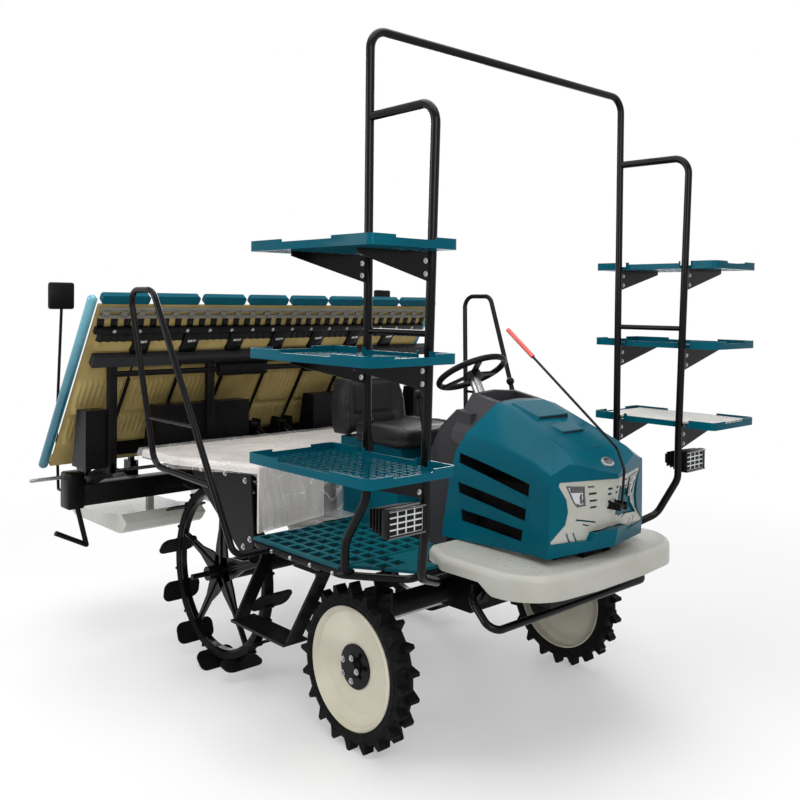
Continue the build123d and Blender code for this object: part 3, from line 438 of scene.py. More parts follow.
def finished(name, mesh, finish, body, sharp=35):
    """Make an object of a mesh, smooth it below an angle, and give it a finish and a body."""
    bmesh.ops.remove_doubles(mesh, verts=mesh.verts, dist=0.00002)
    bmesh.ops.recalc_face_normals(mesh, faces=mesh.faces)
    made = placed(name, mesh)
    made.data.shade_smooth()
    made.data.set_sharp_from_angle(angle=math.radians(sharp))
    made.data.materials.append(finish.material)
    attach(made, body)
    print(name, "faces:", len(made.data.polygons))
    return made


def rounded(mesh, geom, offset, segments=2, affect="EDGES"):
    """Round edges or corners off."""
    return bmesh.ops.bevel(
        mesh, geom=geom, offset=offset, offset_type="OFFSET", segments=segments, profile=0.5,
        affect=affect, clamp_overlap=True, material=-1)


def upright(mesh):
    """The edges of a block that stand along Z."""
    ways = ((edge, edge.verts[0].co - edge.verts[1].co) for edge in mesh.edges)
    return [edge for edge, way in ways if abs(way.z) > way.length / 2]


def bar(mesh, low, high, round_off=0.0, turn=None):
    """A block between two corners, its edges rounded off, turned by a matrix if one is given."""
    corners = low, high
    low, high = (Vector(map(pick, *corners)) for pick in (min, max))
    place = Matrix.Translation((low + high) / 2) @ Matrix.Diagonal((*(high - low), 1))
    verts = bmesh.ops.create_cube(mesh, size=1, matrix=place)["verts"]
    if round_off:
        soft = rounded(mesh, list({edge for vert in verts for edge in vert.link_edges}), round_off)
        kept = {vert for vert in verts if vert.is_valid}
        verts = list({vert for face in soft["faces"] for vert in face.verts} | kept)
    if turn is not None:
        bmesh.ops.transform(mesh, matrix=turn, verts=verts)
    return verts


def new_verts(made):
    """The corners among what an operator made."""
    return [item for item in made["geom"] if isinstance(item, bmesh.types.BMVert)]


def plate(mesh, corners, depth, round_off=0.0):
    """A flat plate with the given corners, as thick as the vector depth."""
    face = mesh.faces.new([mesh.verts.new(corner) for corner in corners])
    verts = new_verts(bmesh.ops.extrude_face_region(mesh, geom=[face]))
    bmesh.ops.translate(mesh, vec=Vector(depth), verts=verts)
    if round_off:
        rim = {edge for vert in verts for edge in vert.link_edges if edge.other_vert(vert) in verts}
        rounded(mesh, list(rim), round_off)


def disc(mesh, place, along, radius, thick, segments=24, top=None):
    """A round disc that stands on a place along a direction."""
    along = Vector(along).normalized()
    turn = along.to_track_quat("Z", "Y").to_matrix().to_4x4()
    bmesh.ops.create_cone(
        mesh, cap_ends=True, segments=segments, radius1=radius, radius2=radius if top is None else top,
        depth=thick, matrix=Matrix.Translation(Vector(place) + along * thick / 2) @ turn,
    )


def bolt(mesh, place, along, radius=0.007):
    """A hexagon head on a washer."""
    along = Vector(along).normalized()
    disc(mesh, place, along, radius * 1.5, 0.0016, 14)
    disc(mesh, Vector(place) + along * 0.0016, along, radius, radius * 0.7, 6, radius * 0.93)


def on_bed(along, y, off):
    """A place in metres on the table's underside: down the slope, across it and out from it."""
    return TABLE_TOP + DOWN * along + OUT * off + Vector((0, y, 0))


def spread(count, pitch):
    """Distances across for a number of equal things, the same on both sides of the middle."""
    return [(place - (count - 1) / 2) * pitch for place in range(count)]


def smooth_step(value, low, high):
    """0 below low, 1 above high, an S curve between."""
    share = min(max((value - low) / (high - low), 0), 1)
    return share * share * (3 - 2 * share)


# %% [markdown]
# Panels of the underside. Each of the eight rows has three raised panels of cream plastic, painted tan as the
# shade and reflection under the table, with soft flutes along the slope that fade out lower down. A grid laid
# on the underside is pushed out by a height that depends on the place, and its rim goes back into the solid,
# so it reads as one moulding.

# %% Panels of the table
ROWS = 8
ROW_PITCH = 0.25


def window(value, low, high, ramp):
    """1 inside a range, 0 outside, with soft ends."""
    return smooth_step(value, low, low + ramp) * (1 - smooth_step(value, high - ramp, high))


def fluted_panel(mesh, centre, width, start, end, height, flute, flutes):
    """A raised panel whose flutes fade out towards its lower end."""
    grid = bmesh.ops.create_grid(mesh, x_segments=44, y_segments=22, size=0.5)
    for vert in grid["verts"]:
        across, down = vert.co.x, vert.co.y + 0.5
        along = start + (end - start) * down
        narrowing = 1 - 0.10 * smooth_step(down, 0.6, 1.0)
        rise = window(across + 0.5, 0, 1, 0.09) * window(down, 0, 1, 0.10)
        ridge = 0.5 + 0.5 * math.cos(2 * math.pi * flutes * (across + 0.5))
        ridge *= 1 - smooth_step(down, 0.45, 0.85)
        off = height * rise - flute * ridge * rise - 0.001 * (rise < 0.02)
        vert.co = on_bed(along, centre + across * width * narrowing, off)


mesh = bmesh.new()
for centre in spread(ROWS, ROW_PITCH):
    fluted_panel(mesh, centre, 0.188, 0.154, 0.262, 0.012, 0.004, 5)
    fluted_panel(mesh, centre, 0.232, 0.424, 0.640, 0.016, 0.006, 9)
    fluted_panel(mesh, centre, 0.226, 0.655, 0.826, 0.012, 0.006, 9)
finished("table_panels", mesh, table_tan_painted_shade, "seedling_table", 60)

# %% [markdown]
# Black parts of the underside: slats that hang from the top rail, dividers between the rows in
# the upper band, narrow gutters between the lower panels, and the cover strip of the bar. The
# clips and bolts on them are bright.

# %% Slats and dividers


def bed_bar(mesh, down, across, half, off, round_off, lean=0.0, foot=-0.001):
    """A block on the underside: two distances down, its middle across and half its width. It
    reaches from its foot to a distance off the surface and leans by an angle."""
    basis = Matrix((DOWN, Vector((0, 1, 0)), OUT)).transposed().to_4x4()
    middle = Matrix.Translation((sum(down) / 2, across, 0))
    leaned = middle @ Matrix.Rotation(lean, 4, "Z") @ middle.inverted()
    low, high = (down[0], across - half, foot), (down[1], across + half, off)
    bar(mesh, low, high, round_off, Matrix.Translation(TABLE_TOP) @ basis @ leaned)


BETWEEN_ROWS = spread(ROWS - 1, ROW_PITCH)
mesh = bmesh.new()
for across in spread(32, 0.0625):
    bed_bar(mesh, (0.066, 0.126), across, 0.015, 0.008, 0.002, 0.18)
for across in BETWEEN_ROWS:
    bed_bar(mesh, (0.150, 0.268), across, 0.042, 0.020, 0.006)
    bed_bar(mesh, (0.330, 0.422), across, 0.005, 0.0015, 0)
    bed_bar(mesh, (0.424, 0.830), across, 0.006, 0.014, 0.002)
bed_bar(mesh, (0.117, 0.151), 0, 0.985, 0.0195, 0.001, foot=0.0165)
finished("table_dividers", mesh, tube_black, "seedling_table")

mesh = bmesh.new()
for across in BETWEEN_ROWS:
    bed_bar(mesh, (0.188, 0.202), across, 0.022, 0.026, 0.003, 0.1, 0.018)
for across in spread(16, 0.12):
    bolt(mesh, on_bed(0.134, across, 0.0195), OUT, 0.006)
finished("table_clips", mesh, steel, "seedling_table")

# %% [markdown]
# Springs on the planting frame's rail. A coil spring is a small ring of wire that is
# spun round the rail while it moves along it, which bmesh does in one step.

# %% Springs


def coil(mesh, start, end, radius, wire, pitch):
    """A coil spring round a line along Y."""
    turns = max(1, round((end - start).length / pitch))
    ring = bmesh.ops.create_circle(
        mesh, cap_ends=False, segments=6, radius=wire,
        matrix=Matrix.Translation(start + Vector((0, 0, radius))) @ Matrix.Rotation(math.radians(90), 4, "Y"),
    )
    edges = list({edge for vert in ring["verts"] for edge in vert.link_edges})
    steps = 14 * turns
    bmesh.ops.spin(
        mesh, geom=ring["verts"] + edges, cent=start, axis=(0, 1, 0), dvec=(end - start) / steps,
        angle=2 * math.pi * turns, steps=steps, use_merge=False, use_duplicate=False,
    )
    bmesh.ops.holes_fill(mesh, edges=[edge for edge in mesh.edges if edge.is_boundary], sides=8)


POST = -1425
mesh = bmesh.new()
for start, end in ((-400, -120), (120, 400)):
    coil(mesh, at(POST + 8, start, 1340), at(POST + 8, end, 1340), 0.030, 0.0042, 0.0105)
finished("rail_springs", mesh, moulded_black, "planting_frame", 60)

mesh = bmesh.new()
coil(mesh, at(POST + 30, -660, 1388), at(POST + 30, 100, 1388), 0.011, 0.0022, 0.008)
finished("long_spring", mesh, moulded_black, "planting_frame", 60)

# %% [markdown]
# Finer outer forms. The solids of the frame carry the machine's sizes and joints. Their hood,
# grille, deck, trays, lamps, planting frame and rear wheels are plainer than the ones in the
# photo, so pieces made here stand for them and ride on the same bodies. A form is lofted through
# rings of corners, and others are cut from it.

# %% Form helpers


def loop(mesh, corners):
    """A closed line through corners: its points and its edges."""
    verts = [mesh.verts.new(corner) for corner in corners]
    return verts, [mesh.edges.new(pair) for pair in zip(verts, verts[1:] + verts[:1])]


def lofted(*sections):
    """A closed form through rings of corners, one after another."""
    mesh = bmesh.new()
    rings = [loop(mesh, corners)[1] for corners in sections]
    for ring, following in zip(rings, rings[1:]):
        bmesh.ops.bridge_loops(mesh, edges=ring + following)
    for ring in (rings[0], rings[-1]):
        bmesh.ops.edgeloop_fill(mesh, edges=ring)
    bmesh.ops.recalc_face_normals(mesh, faces=mesh.faces)
    return mesh


def side_form(outline, *reach):
    """A form with an outline of stations and heights between two distances to the left."""
    return lofted(*([at(x, y, z) for x, z in outline] for y in sorted(reach)))


def box_form(low, high):
    mesh = bmesh.new()
    bar(mesh, at(*low), at(*high))
    return mesh


def spun(mesh, centre, profile):
    """A ring round an axis across the machine, from a profile of radii and offsets in mm."""
    verts, edges = loop(mesh, [centre + Vector((radius / 1000, y / 1000, 0)) for radius, y in profile])
    bmesh.ops.spin(
        mesh, geom=verts + edges, cent=centre, axis=(0, 1, 0), angle=2 * math.pi, steps=96, use_merge=True)


def joined(*meshes):
    """The first mesh with the faces of the others added."""
    first = meshes[0]
    for other in meshes[1:]:
        data = bpy.data.meshes.new("joined")
        other.to_mesh(data)
        other.free()
        first.from_mesh(data)
        bpy.data.meshes.remove(data)
    return first


def carved(mesh, *tools, way="DIFFERENCE"):
    """The mesh with the tools' forms taken out of it, or with what it shares with them."""
    base, *cutters = loose = [placed("form", form) for form in (mesh, *tools)]
    for cutter in cutters:
        cut = base.modifiers.new("cut", "BOOLEAN")
        cut.operation = way
        cut.solver = "EXACT"
        cut.object = cutter
    result = bmesh.new()
    result.from_mesh(evaluated(base))
    for piece in loose:
        bpy.data.objects.remove(piece)
    return result


def ball(mesh, place, radius):
    bmesh.ops.create_uvsphere(
        mesh, u_segments=20, v_segments=12, radius=radius, matrix=Matrix.Translation(place))


def tube(mesh, points, radius, balls=slice(1, -1)):
    """A bent tube: straight lengths with a ball at each bend, or at all its points."""
    for start, end in zip(points, points[1:]):
        disc(mesh, start, end - start, radius, (end - start).length, 20)
    for place in points[balls]:
        ball(mesh, place, radius)


# %% [markdown]
# Hood. Sections from the rear to the nose give its form, and a shallow V cut from a profile gives its nose.
# It is hollow, open at the rear, has three slots in each side, a recess for the grille and three raised lids
# on its top, the rear two with open mouths.

# %% Hood
# Each section: station, then half width and height at the lower edge, the belt, the shoulder and
# the ridge, and the height of the crown. A profile pairs station and height in the middle with
# those at the side. A slot: half distance, height, length, width and lean. A lid: station and
# height at its rear and at its mouth, then half its width at both. Millimetres and degrees.
HOOD_SECTIONS = (
    (40, (262, 756), (264, 1000), (240, 1190), (128, 1335), 1345),
    (330, (264, 768), (266, 1000), (240, 1160), (140, 1283), 1290),
    (560, (274, 780), (275, 1000), (263, 1112), (168, 1184), 1180),
    (651, (290, 784), (286, 1000), (283, 1084), (176, 1143), 1134),
    (745, (290, 802), (286, 1000), (283, 1062), (176, 1066), 1061),
)
NOSE = (((742, 1320), (650, 1320)), ((742, 1060), (650, 1060)), ((743, 863), (650, 840)),
        ((730, 792), (646, 780)), ((712, 700), (640, 700)))
GRILLE = (((784, 1320), (649, 1320)), ((736, 1050), (649, 1050)), ((704, 871), (650, 840)),
          ((673, 700), (650, 700)))
GRILLE_HALF = ((0, 1049), (246, 1053), (250, 1040), (218, 990), (211, 945), (222, 900), (282, 845),
               (278, 836), (112, 832), (97, 859), (39, 860), (0, 866))
GRILLE_SLOTS = (
    (104, 1002, 36, 8, 0), (100, 976, 36, 8, 0), (95, 951, 34, 8, 0), (112, 1027, 30, 6, 0),
    (24, 1012, 24, 9, 0), (22, 992, 22, 9, 0), (18, 964, 18, 9, 0), (17, 940, 18, 9, 0),
    (122, 902, 104, 6, 12), (118, 886, 36, 5, 16), (200, 850, 42, 8, 62), (168, 848, 40, 7, 62),
)
LAMP_HALF = ((218, 1038), (142, 1030), (132, 960), (170, 957), (186, 972))
HINGE_X, HINGE_Z = 690, 842
LIDS = ((305, 1298, 434, 1254, 104, 96), (438, 1234, 532, 1205, 84, 70), (540, 1190, 626, 1151, 66, 58))


def hood_form(grow, stretch=0):
    """The hood's outer form moved out by grow, its lower edge lengthened by stretch."""
    moves = ((grow, -stretch), (grow, 0), (grow, grow / 2), (grow / 2, grow), (0, grow))
    sections = []
    for station, *corners, crown in HOOD_SECTIONS:
        half = [(y + dy, z + dz) for (y, z), (dy, dz) in zip([*corners, (0, crown)], moves)]
        left = [(-y, z) for y, z in half[-2::-1]]
        sections.append([at(station, y, z) for y, z in half + left])
    return lofted(*sections)


def nose_air(profile, back):
    """The space ahead of a profile moved back, from the middle out to each side."""
    def ring(y, which):
        line = [pair[which] for pair in profile]
        return [at(x - back, y, z) for x, z in line] + [at(900, y, line[-1][1]), at(900, y, line[0][1])]
    return lofted(ring(-300, 1), ring(0, 0), ring(300, 1))


def face_form(outline, shrink=1.0):
    """A form along the machine from an outline of distances to the left and heights."""
    corners = [(y * shrink, 940 + (z - 940) * shrink) for y, z in outline]
    return lofted([at(600, y, z) for y, z in corners], [at(800, y, z) for y, z in corners])


def both_halves(outline):
    return list(outline) + [(-y, z) for y, z in reversed(outline[1:-1])]


def grille_slots():
    mesh = bmesh.new()
    for side in (-1, 1):
        for y, z, length, width, lean in GRILLE_SLOTS:
            turn = Matrix.Rotation(math.radians(side * lean), 4, "X")
            half = Vector((0.1, length / 2000, width / 2000))
            bar(mesh, -half, half, 0, Matrix.Translation(at(700, side * y, z)) @ turn)
    return mesh


outer = hood_form(0)
rounded(outer, [edge for edge in outer.edges if abs(edge.verts[0].co.x - edge.verts[1].co.x) > 0.05
                and min(vert.co.z for vert in edge.verts) > 1.03
                and min(abs(vert.co.y) for vert in edge.verts) > 0.05], 0.008, 3)
recess = carved(nose_air(GRILLE, 6.3), face_form(both_halves(GRILLE_HALF)), way="INTERSECT")
inside = carved(hood_form(-6, 30), nose_air(GRILLE, 10.3))
side_slots = [side_form(slot, -330, 330) for slot in (
    ((170, 1060), (168, 1100), (548, 1034), (546, 986)),
    ((180, 945), (172, 988), (535, 942), (528, 895)),
    ((195, 838), (190, 884), (519, 862), (510, 818)),
)]
rear_cut = side_form(((0, 700), (72, 700), (148, 1106), (262, 1298), (262, 1500), (0, 1500)), -330, 330)
hinge_pocket = box_form((600, -89, 770), (706, 89, 868))
hood = carved(outer, nose_air(NOSE, 0), recess, inside, rear_cut, hinge_pocket, *side_slots)
dark = bmesh.new()
for number, (rear, rear_z, mouth, mouth_z, rear_half, mouth_half) in enumerate(LIDS):
    lid = lofted(*(
        [at(x, -half, z - 30), at(x, 7 - half, z), at(x, half - 7, z), at(x, half, z - 30)]
        for x, z, half in ((rear, rear_z, rear_half), (mouth, mouth_z, mouth_half))))
    if number < 2:
        half = mouth_half - 12
        lid = carved(lid, box_form((mouth - 40, -half, mouth_z - 15), (mouth + 2, half, mouth_z - 4)))
        bar(dark, at(mouth - 41, -half, mouth_z - 16), at(mouth - 3, half, mouth_z - 5))
    hood = joined(hood, lid)
for side in (-1, 1):
    lug = side_form(((678, 830), (708, 833), (708, 854), (678, 854)), side * 81, side * 87)
    pin = bmesh.new()
    disc(pin, at(HINGE_X, side * 84 - 5, HINGE_Z), (0, 1, 0), 0.0083, 0.010)
    hood = joined(hood, carved(lug, pin))
hood = finished("hood_skin", hood, teal, "hood", 28)
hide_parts("hood_shell")
finished("lid_mouths", dark, moulded_black, "hood")

mesh = bmesh.new()
GOOSENECK = ((604, 662.3), (646, 662.3), (655, 815), (684, 831), (696, 831), (702, 842), (696, 853),
             (640, 857))
for side in (-1, 1):
    mesh = joined(mesh, side_form(GOOSENECK, side * 70, side * 78))
disc(mesh, at(HINGE_X, -90, HINGE_Z), (0, 1, 0), 0.008, 0.180)
hinge = finished("hinge_plates", mesh, tube_black, "chassis")
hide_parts("hood_hinge")

skin = carved(face_form(both_halves(GRILLE_HALF), 0.997), nose_air(GRILLE, 6), way="INTERSECT")
skin = carved(skin, nose_air(GRILLE, 0))
lamps = [face_form([(side * y, z) for y, z in LAMP_HALF]) for side in (-1, 1)]
grille = finished("grille_skin", carved(skin, *lamps, grille_slots()), cream, "hood", 28)
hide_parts("grille_face")

# %% [markdown]
# Deck round the hood: a cream moulding with a rolled edge, deeper across the front. A flat plan
# gets its front corners rounded, is pulled up to the deck's height, rolled along its top edge,
# made hollow and cut out for the hood's inside and the floor.

# %% Deck round the hood
DECK_FRONT = ((165, 405), (300, 470), (733, 470), (765, 150), (765, -150), (733, -470), (300, -470),
              (165, -405))
mesh = bmesh.new()
face = mesh.faces.new([mesh.verts.new(at(x, y, 670)) for x, y in DECK_FRONT])
corners = [vert for vert in mesh.verts if abs(vert.co.x - ahead(733)) < 0.001]
rounded(mesh, corners, 0.165, 10, "VERTICES")
raised = new_verts(bmesh.ops.extrude_face_region(mesh, geom=mesh.faces[:]))
bmesh.ops.translate(mesh, vec=(0, 0, 0.088), verts=raised)
top = [face for face in mesh.faces if min(vert.co.z for vert in face.verts) > 0.757][0]
rim = [edge for edge in top.edges if max(vert.co.x for vert in edge.verts) > ahead(170)]
rounded(mesh, rim, 0.026, 5)
open_faces = [face for face in mesh.faces if max(vert.co.z for vert in face.verts) < 0.671
              or max(vert.co.x for vert in face.verts) < ahead(170)]
bmesh.ops.delete(mesh, geom=open_faces, context="FACES_ONLY")
bmesh.ops.recalc_face_normals(mesh, faces=mesh.faces)
bmesh.ops.solidify(mesh, geom=mesh.faces[:], thickness=0.005)
side_ends = ((150, 660), (575, 660), (530, 678), (505, 694), (485, 706), (150, 706))
well = box_form((150, -200, 640), (610, 200, 770))
deck = carved(mesh, side_form(side_ends, -480, 480), well, box_form((600, -100, 640), (660, 100, 770)))
deck = finished("front_deck", deck, cream, "chassis", 40)
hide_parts("fender_deck")

# %% [markdown]
# Dashboard: a console from the floor and an open binnacle that carries on the hood's form.

# %% Dashboard
binnacle = side_form(((112, 1150), (118, 1400), (261, 1400), (261, 1298), (160, 1128)), -320, 320)
binnacle = carved(hood_form(-0.5), binnacle, way="INTERSECT")
binnacle = carved(binnacle, side_form(((136, 1250), (130, 1400), (250, 1400), (250, 1290)), -108, 108))
console = ((-40, 690), (-52, 1060), (20, 1185), (112, 1262), (190, 1250), (192, 1190), (140, 1106),
           (55, 690))
console = joined(side_form(console, -215, 215), binnacle)
console = finished("console", console, dash_grey, "chassis", 28)
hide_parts("dashboard")

# %% [markdown]
# Trays: shallow, with a lattice floor and lips that step down between the corners. One is made
# and set down at three heights on each side. The bottom one on the left holds white slats.

# %% Trays
TRAY_LEVELS = (1.146, 1.496, 1.850)
TRAY_X, TRAY_Y = 366, 957.5
windows = bmesh.new()
for column in range(8):
    for row in range(5):
        x, y = TRAY_X + (column - 3.5) * 72, TRAY_Y + (row - 2) * 62
        bar(windows, at(x - 27, y - 22, -5), at(x + 27, y + 22, 8))
solid = bmesh.new()
bar(solid, at(46, 780, 0), at(686, 1135, 34))
rounded(solid, upright(solid), 0.022, 4)
one = carved(
    solid, box_form((53, 787, 5), (679, 1128, 40)), box_form((232, 770, 25), (500, 1145, 40)),
    box_form((40, 876, 25), (700, 1039, 40)), box_form((185, 770, 5), (219, 790.5, 40)),
    box_form((505, 770, 5), (560, 790.5, 40)), windows,
)
pattern = bpy.data.meshes.new("tray")
one.to_mesh(pattern)
one.free()
for side, word in SIDES:
    mesh = bmesh.new()
    for level in TRAY_LEVELS:
        before = set(mesh.verts)
        mesh.from_mesh(pattern)
        place = Matrix.Translation((0, 0, level)) @ Matrix.Diagonal((1, side, 1, 1))
        bmesh.ops.transform(mesh, matrix=place, verts=[vert for vert in mesh.verts if vert not in before])
    trays = finished(f"trays_{word}", mesh, teal, "chassis", 30)
    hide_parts(f"seedling_trays_{word}")

mesh = bmesh.new()
for off in spread(9, 37):
    bar(mesh, at(80, TRAY_Y + off - 14, 1162), at(652, TRAY_Y + off + 14, 1172), 0.002)
for station in (100, TRAY_X, 632):
    bar(mesh, at(station - 16, 790, 1151.5), at(station + 16, 1125, 1163), 0.001)
slats = finished("tray_slats", mesh, slat_white, "chassis")
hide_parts("tray_insert")

# %% [markdown]
# Work lamps: a square case with a recess for the lamp's face, and a tail with cooling fins.

# %% Work lamp cases
LAMP_Y, LAMP_Z = 864, 993
mesh = bmesh.new()
for side in (-1, 1):
    y = side * LAMP_Y
    case = bmesh.new()
    bar(case, at(517, y - 80, 946), at(551, y + 80, 1040), 0.006)
    mesh = joined(mesh, carved(case, box_form((545, y - 72, 954), (560, y + 72, 1032))))
    mesh = joined(mesh, lofted(*(
        [at(x, y + a * w, LAMP_Z + b * h) for a, b in ((-1, -1), (1, -1), (1, 1), (-1, 1))]
        for x, w, h in ((518, 64, 35), (421, 48, 20)))))
    for step in range(4):
        x, w, h = 503 - 20 * step, 75 - 4 * step, 44 - 4 * step
        bar(mesh, at(x - 5, y - w, LAMP_Z - h), at(x, y + w, LAMP_Z + h), 0.001)
    bar(mesh, at(505, side * 778.3, 985), at(535, side * 810, 1001))
cases = finished("lamp_cases", mesh, moulded_black, "chassis")
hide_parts("work_lamps")

# %% [markdown]
# Planting frame: the beam with housings and foot tubes at its ends, the mast's ears, four posts
# with a cross rail, the covers of the feed drives, and the two bars under the table.

# %% Planting frame
mesh = bmesh.new()
bar(mesh, at(-1740, -1050, 695), at(-1640, 1050, 795), 0.004)
LINK, RAISED = 560, math.radians(21)
low_x, low_z = -1060 - LINK * math.cos(RAISED), 560 + LINK * math.sin(RAISED)
mast = ((-1690, 745), (low_x + 28, low_z - 28), (low_x + 28, low_z + 288), (low_x - 40, low_z + 288),
        (-1690, 835))
for side in (-1, 1):
    for ear in (136, 56):
        mesh = joined(mesh, side_form(mast, side * ear, side * (ear + 12)))
    bar(mesh, at(-1735, side * 980, 685), at(-1630, side * 1062, 861), 0.012)
    foot_tube = [at(-1690, side * y, z) for y, z in ((1005, 725), (950, 495), (1098, 575))]
    tube(mesh, foot_tube, 0.012)
    for near, far in ((205, 425), (455, 715), (955, 1062)):
        cover = ((POST - 10, 905), (POST - 10, 1175), (POST - 110, 1175), (POST - 165, 905))
        mesh = joined(mesh, side_form(cover, side * near, side * far))
    for y in (side * 440, side * 945):
        bar(mesh, at(POST - 15, y - 20, 880), at(POST + 15, y + 20, 1385), 0.002)
        web = ((-1730, 790), (-1650, 855), (POST - 15, 925), (POST + 15, 925), (POST + 15, 880),
               (-1640, 790))
        mesh = joined(mesh, side_form(web, y - 8, y + 8))
        stay = [at(-1730, 0, 790), at(-1685, 0, 790), on_bed(0.84, 0, 0.03), on_bed(0.89, 0, 0.03)]
        mesh = joined(mesh, lofted(*(
            [Vector((corner.x, face / 1000, corner.z)) for corner in stay] for face in (y - 8, y + 8))))
disc(mesh, at(POST + 8, -945, 1340), (0, 1, 0), 0.014, 1.89)
for near, far, half in ((0.270, 0.325, 1.05), (0.835, 0.890, 0.86)):
    section = [on_bed(*place) for place in (
        (near, 0, 0.0003), (far, 0, 0.0003), (far, 0, 0.04), (near, 0, 0.04))]
    ends = [[Vector((corner.x, y, corner.z)) for corner in section] for y in (-half, half)]
    mesh = joined(mesh, lofted(*ends))
planting = finished("planting_structure", mesh, planting_black, "planting_frame")
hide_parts("planting_frame")

mesh = bmesh.new()
for y, width in ((0, 300), (-625, 420), (625, 420)):
    hull = ((-1500, 611), (-1535, 572), (-1560, 555), (-1590, 551), (-2105, 551), (-2135, 561),
            (-2148, 577), (-2148, 601), (-1800, 613), (-1560, 646))
    mesh = joined(mesh, side_form(hull, y - width / 2, y + width / 2))
    bar(mesh, at(-1705, y - 15, 610), at(-1675, y + 15, 695))
hulls = finished("float_hulls", mesh, float_grey, "planting_frame")
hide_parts("floats")

mesh = bmesh.new()
for side in (-1, 1):
    stalk = ((-1740, 1020, 745), (-1880, 1012, 745), (-1880, 1022, 1040), (-1826, 1022, 1640))
    tube(mesh, [at(x, side * y, z) for x, y, z in stalk], 0.007)
    bar(mesh, at(-1846, side * 1022 - 62, 1636), at(-1814, side * 1022 + 62, 1768), 0.012)
markers = finished("marker_heads", mesh, moulded_black, "planting_frame")
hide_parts("marker_lamps")

# %% [markdown]
# Table: blue tubes along its sides, and two bars across the top of its underside. The upper bar
# is open between its posts.

# %% Table sides and bars
mesh = bmesh.new()
for side in (-1, 1):
    tube(mesh, [on_bed(end, side * 1.0223, -0.025) for end in (-0.010, 0.960)], 0.022, slice(None))
tubes = finished("table_tubes", mesh, tube_blue_painted_reflection, "seedling_table")
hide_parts("table_ends")

mesh = bmesh.new()
for low, high in ((0.012, 0.028), (0.050, 0.066)):
    bed_bar(mesh, (low, high), 0, 0.99, 0.014, 0)
for across in spread(24, 0.08333):
    bed_bar(mesh, (0.020, 0.058), across, 0.0146, 0.014, 0)
bed_bar(mesh, (0.118, 0.150), 0, 0.99, 0.0165, 0.001)
finished("table_bars", mesh, table_tan_painted_shade, "seedling_table")

# %% [markdown]
# Rear wheels: a rubber ring with broad leaning paddles and small teeth between them, round a
# slim hub with five tapered spokes.

# %% Rear wheels
RING = 397
TIP = 0.445
PADDLES, SPOKES = 12, 5
SPOKE = ((20, 58), (110, 44), (190, 22), (362, 13))


def turned(centre, share):
    """A share of a full turn about an axis across the machine through a centre."""
    return Matrix.Translation(centre) @ Matrix.Rotation(2 * math.pi * share, 4, "Y")


for side, word in SIDES:
    centre = at(-1022, side * 600, TIP * 1000)
    mesh = bmesh.new()
    spun(mesh, centre, (
        (RING - 34, -17), (RING - 34, 17), (RING - 6, 23), (RING, 13), (RING, -13), (RING - 6, -23)))
    for number in range(3 * PADDLES):
        turn = turned(centre, number / (3 * PADDLES))
        if number % 3:
            tooth = ((RING - 10) / 1000, -0.021, -0.006), ((RING + 12) / 1000, 0.021, 0.006)
            bar(mesh, *tooth, 0.002, turn)
            continue
        leaf = bmesh.new()
        bar(leaf, (-0.100, -0.0925, -0.004), (0, 0.0925, 0.004))
        rounded(leaf, upright(leaf), 0.034, 5)
        lean = Matrix.Translation((TIP, 0, 0)) @ Matrix.Rotation(math.radians(-50), 4, "Y")
        bmesh.ops.transform(leaf, matrix=turn @ lean, verts=leaf.verts[:])
        mesh = joined(mesh, leaf)
    paddles = finished(f"paddles_{word}", mesh, rubber, f"rear_wheel_{word}")
    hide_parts(f"rear_lugs_{word}")

    mesh = bmesh.new()
    along = Vector((0, side, 0))
    disc(mesh, centre - along * 0.037, along, 0.032, 0.113, 32)
    disc(mesh, centre - along * 0.079, along, 0.012, 0.230, 20)
    for number in range(SPOKES):
        outline = SPOKE + tuple((x, -y) for x, y in reversed(SPOKE))
        spoke = lofted(*(
            [Vector((y / 1000, face, x / 1000)) for x, y in outline] for face in (-0.005, 0.005)))
        bar(spoke, (-0.008, -0.012, 0.02), (0.008, 0.012, 0.360), 0.004)
        bmesh.ops.transform(spoke, matrix=turned(centre, number / SPOKES), verts=spoke.verts[:])
        mesh = joined(mesh, spoke)
    disc(mesh, centre - along * 0.037, along, 0.048, 0.012, 32)
    rim = bmesh.new()
    spun(rim, centre, ((351, -14), (351, 14), (362.7, 14), (362.7, -14)))
    mesh = joined(mesh, rim)
    middle = finished(f"rear_spokes_{word}", mesh, tube_black, f"rear_wheel_{word}")
    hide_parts(f"rear_centre_{word}")

mesh = bmesh.new()
for side in (-1, 1):
    bar(mesh, at(708, side * 16.3, 936), at(749, side * 22, 964))
finished("bracket_feet", mesh, tube_black, "hood")

# %% [markdown]
# Seat. Black vinyl over foam: a crowned cushion with a raised panel and thick sides, and a low
# back with side bolsters. Foam under a cover takes its shape from pressure, so a slightly smaller
# form is remeshed, blown up a little as cloth, and stopped by a cap. The seams and the edges of
# the panel are drawn in afterwards, because the remesh would erase them.

# %% Padding by cloth


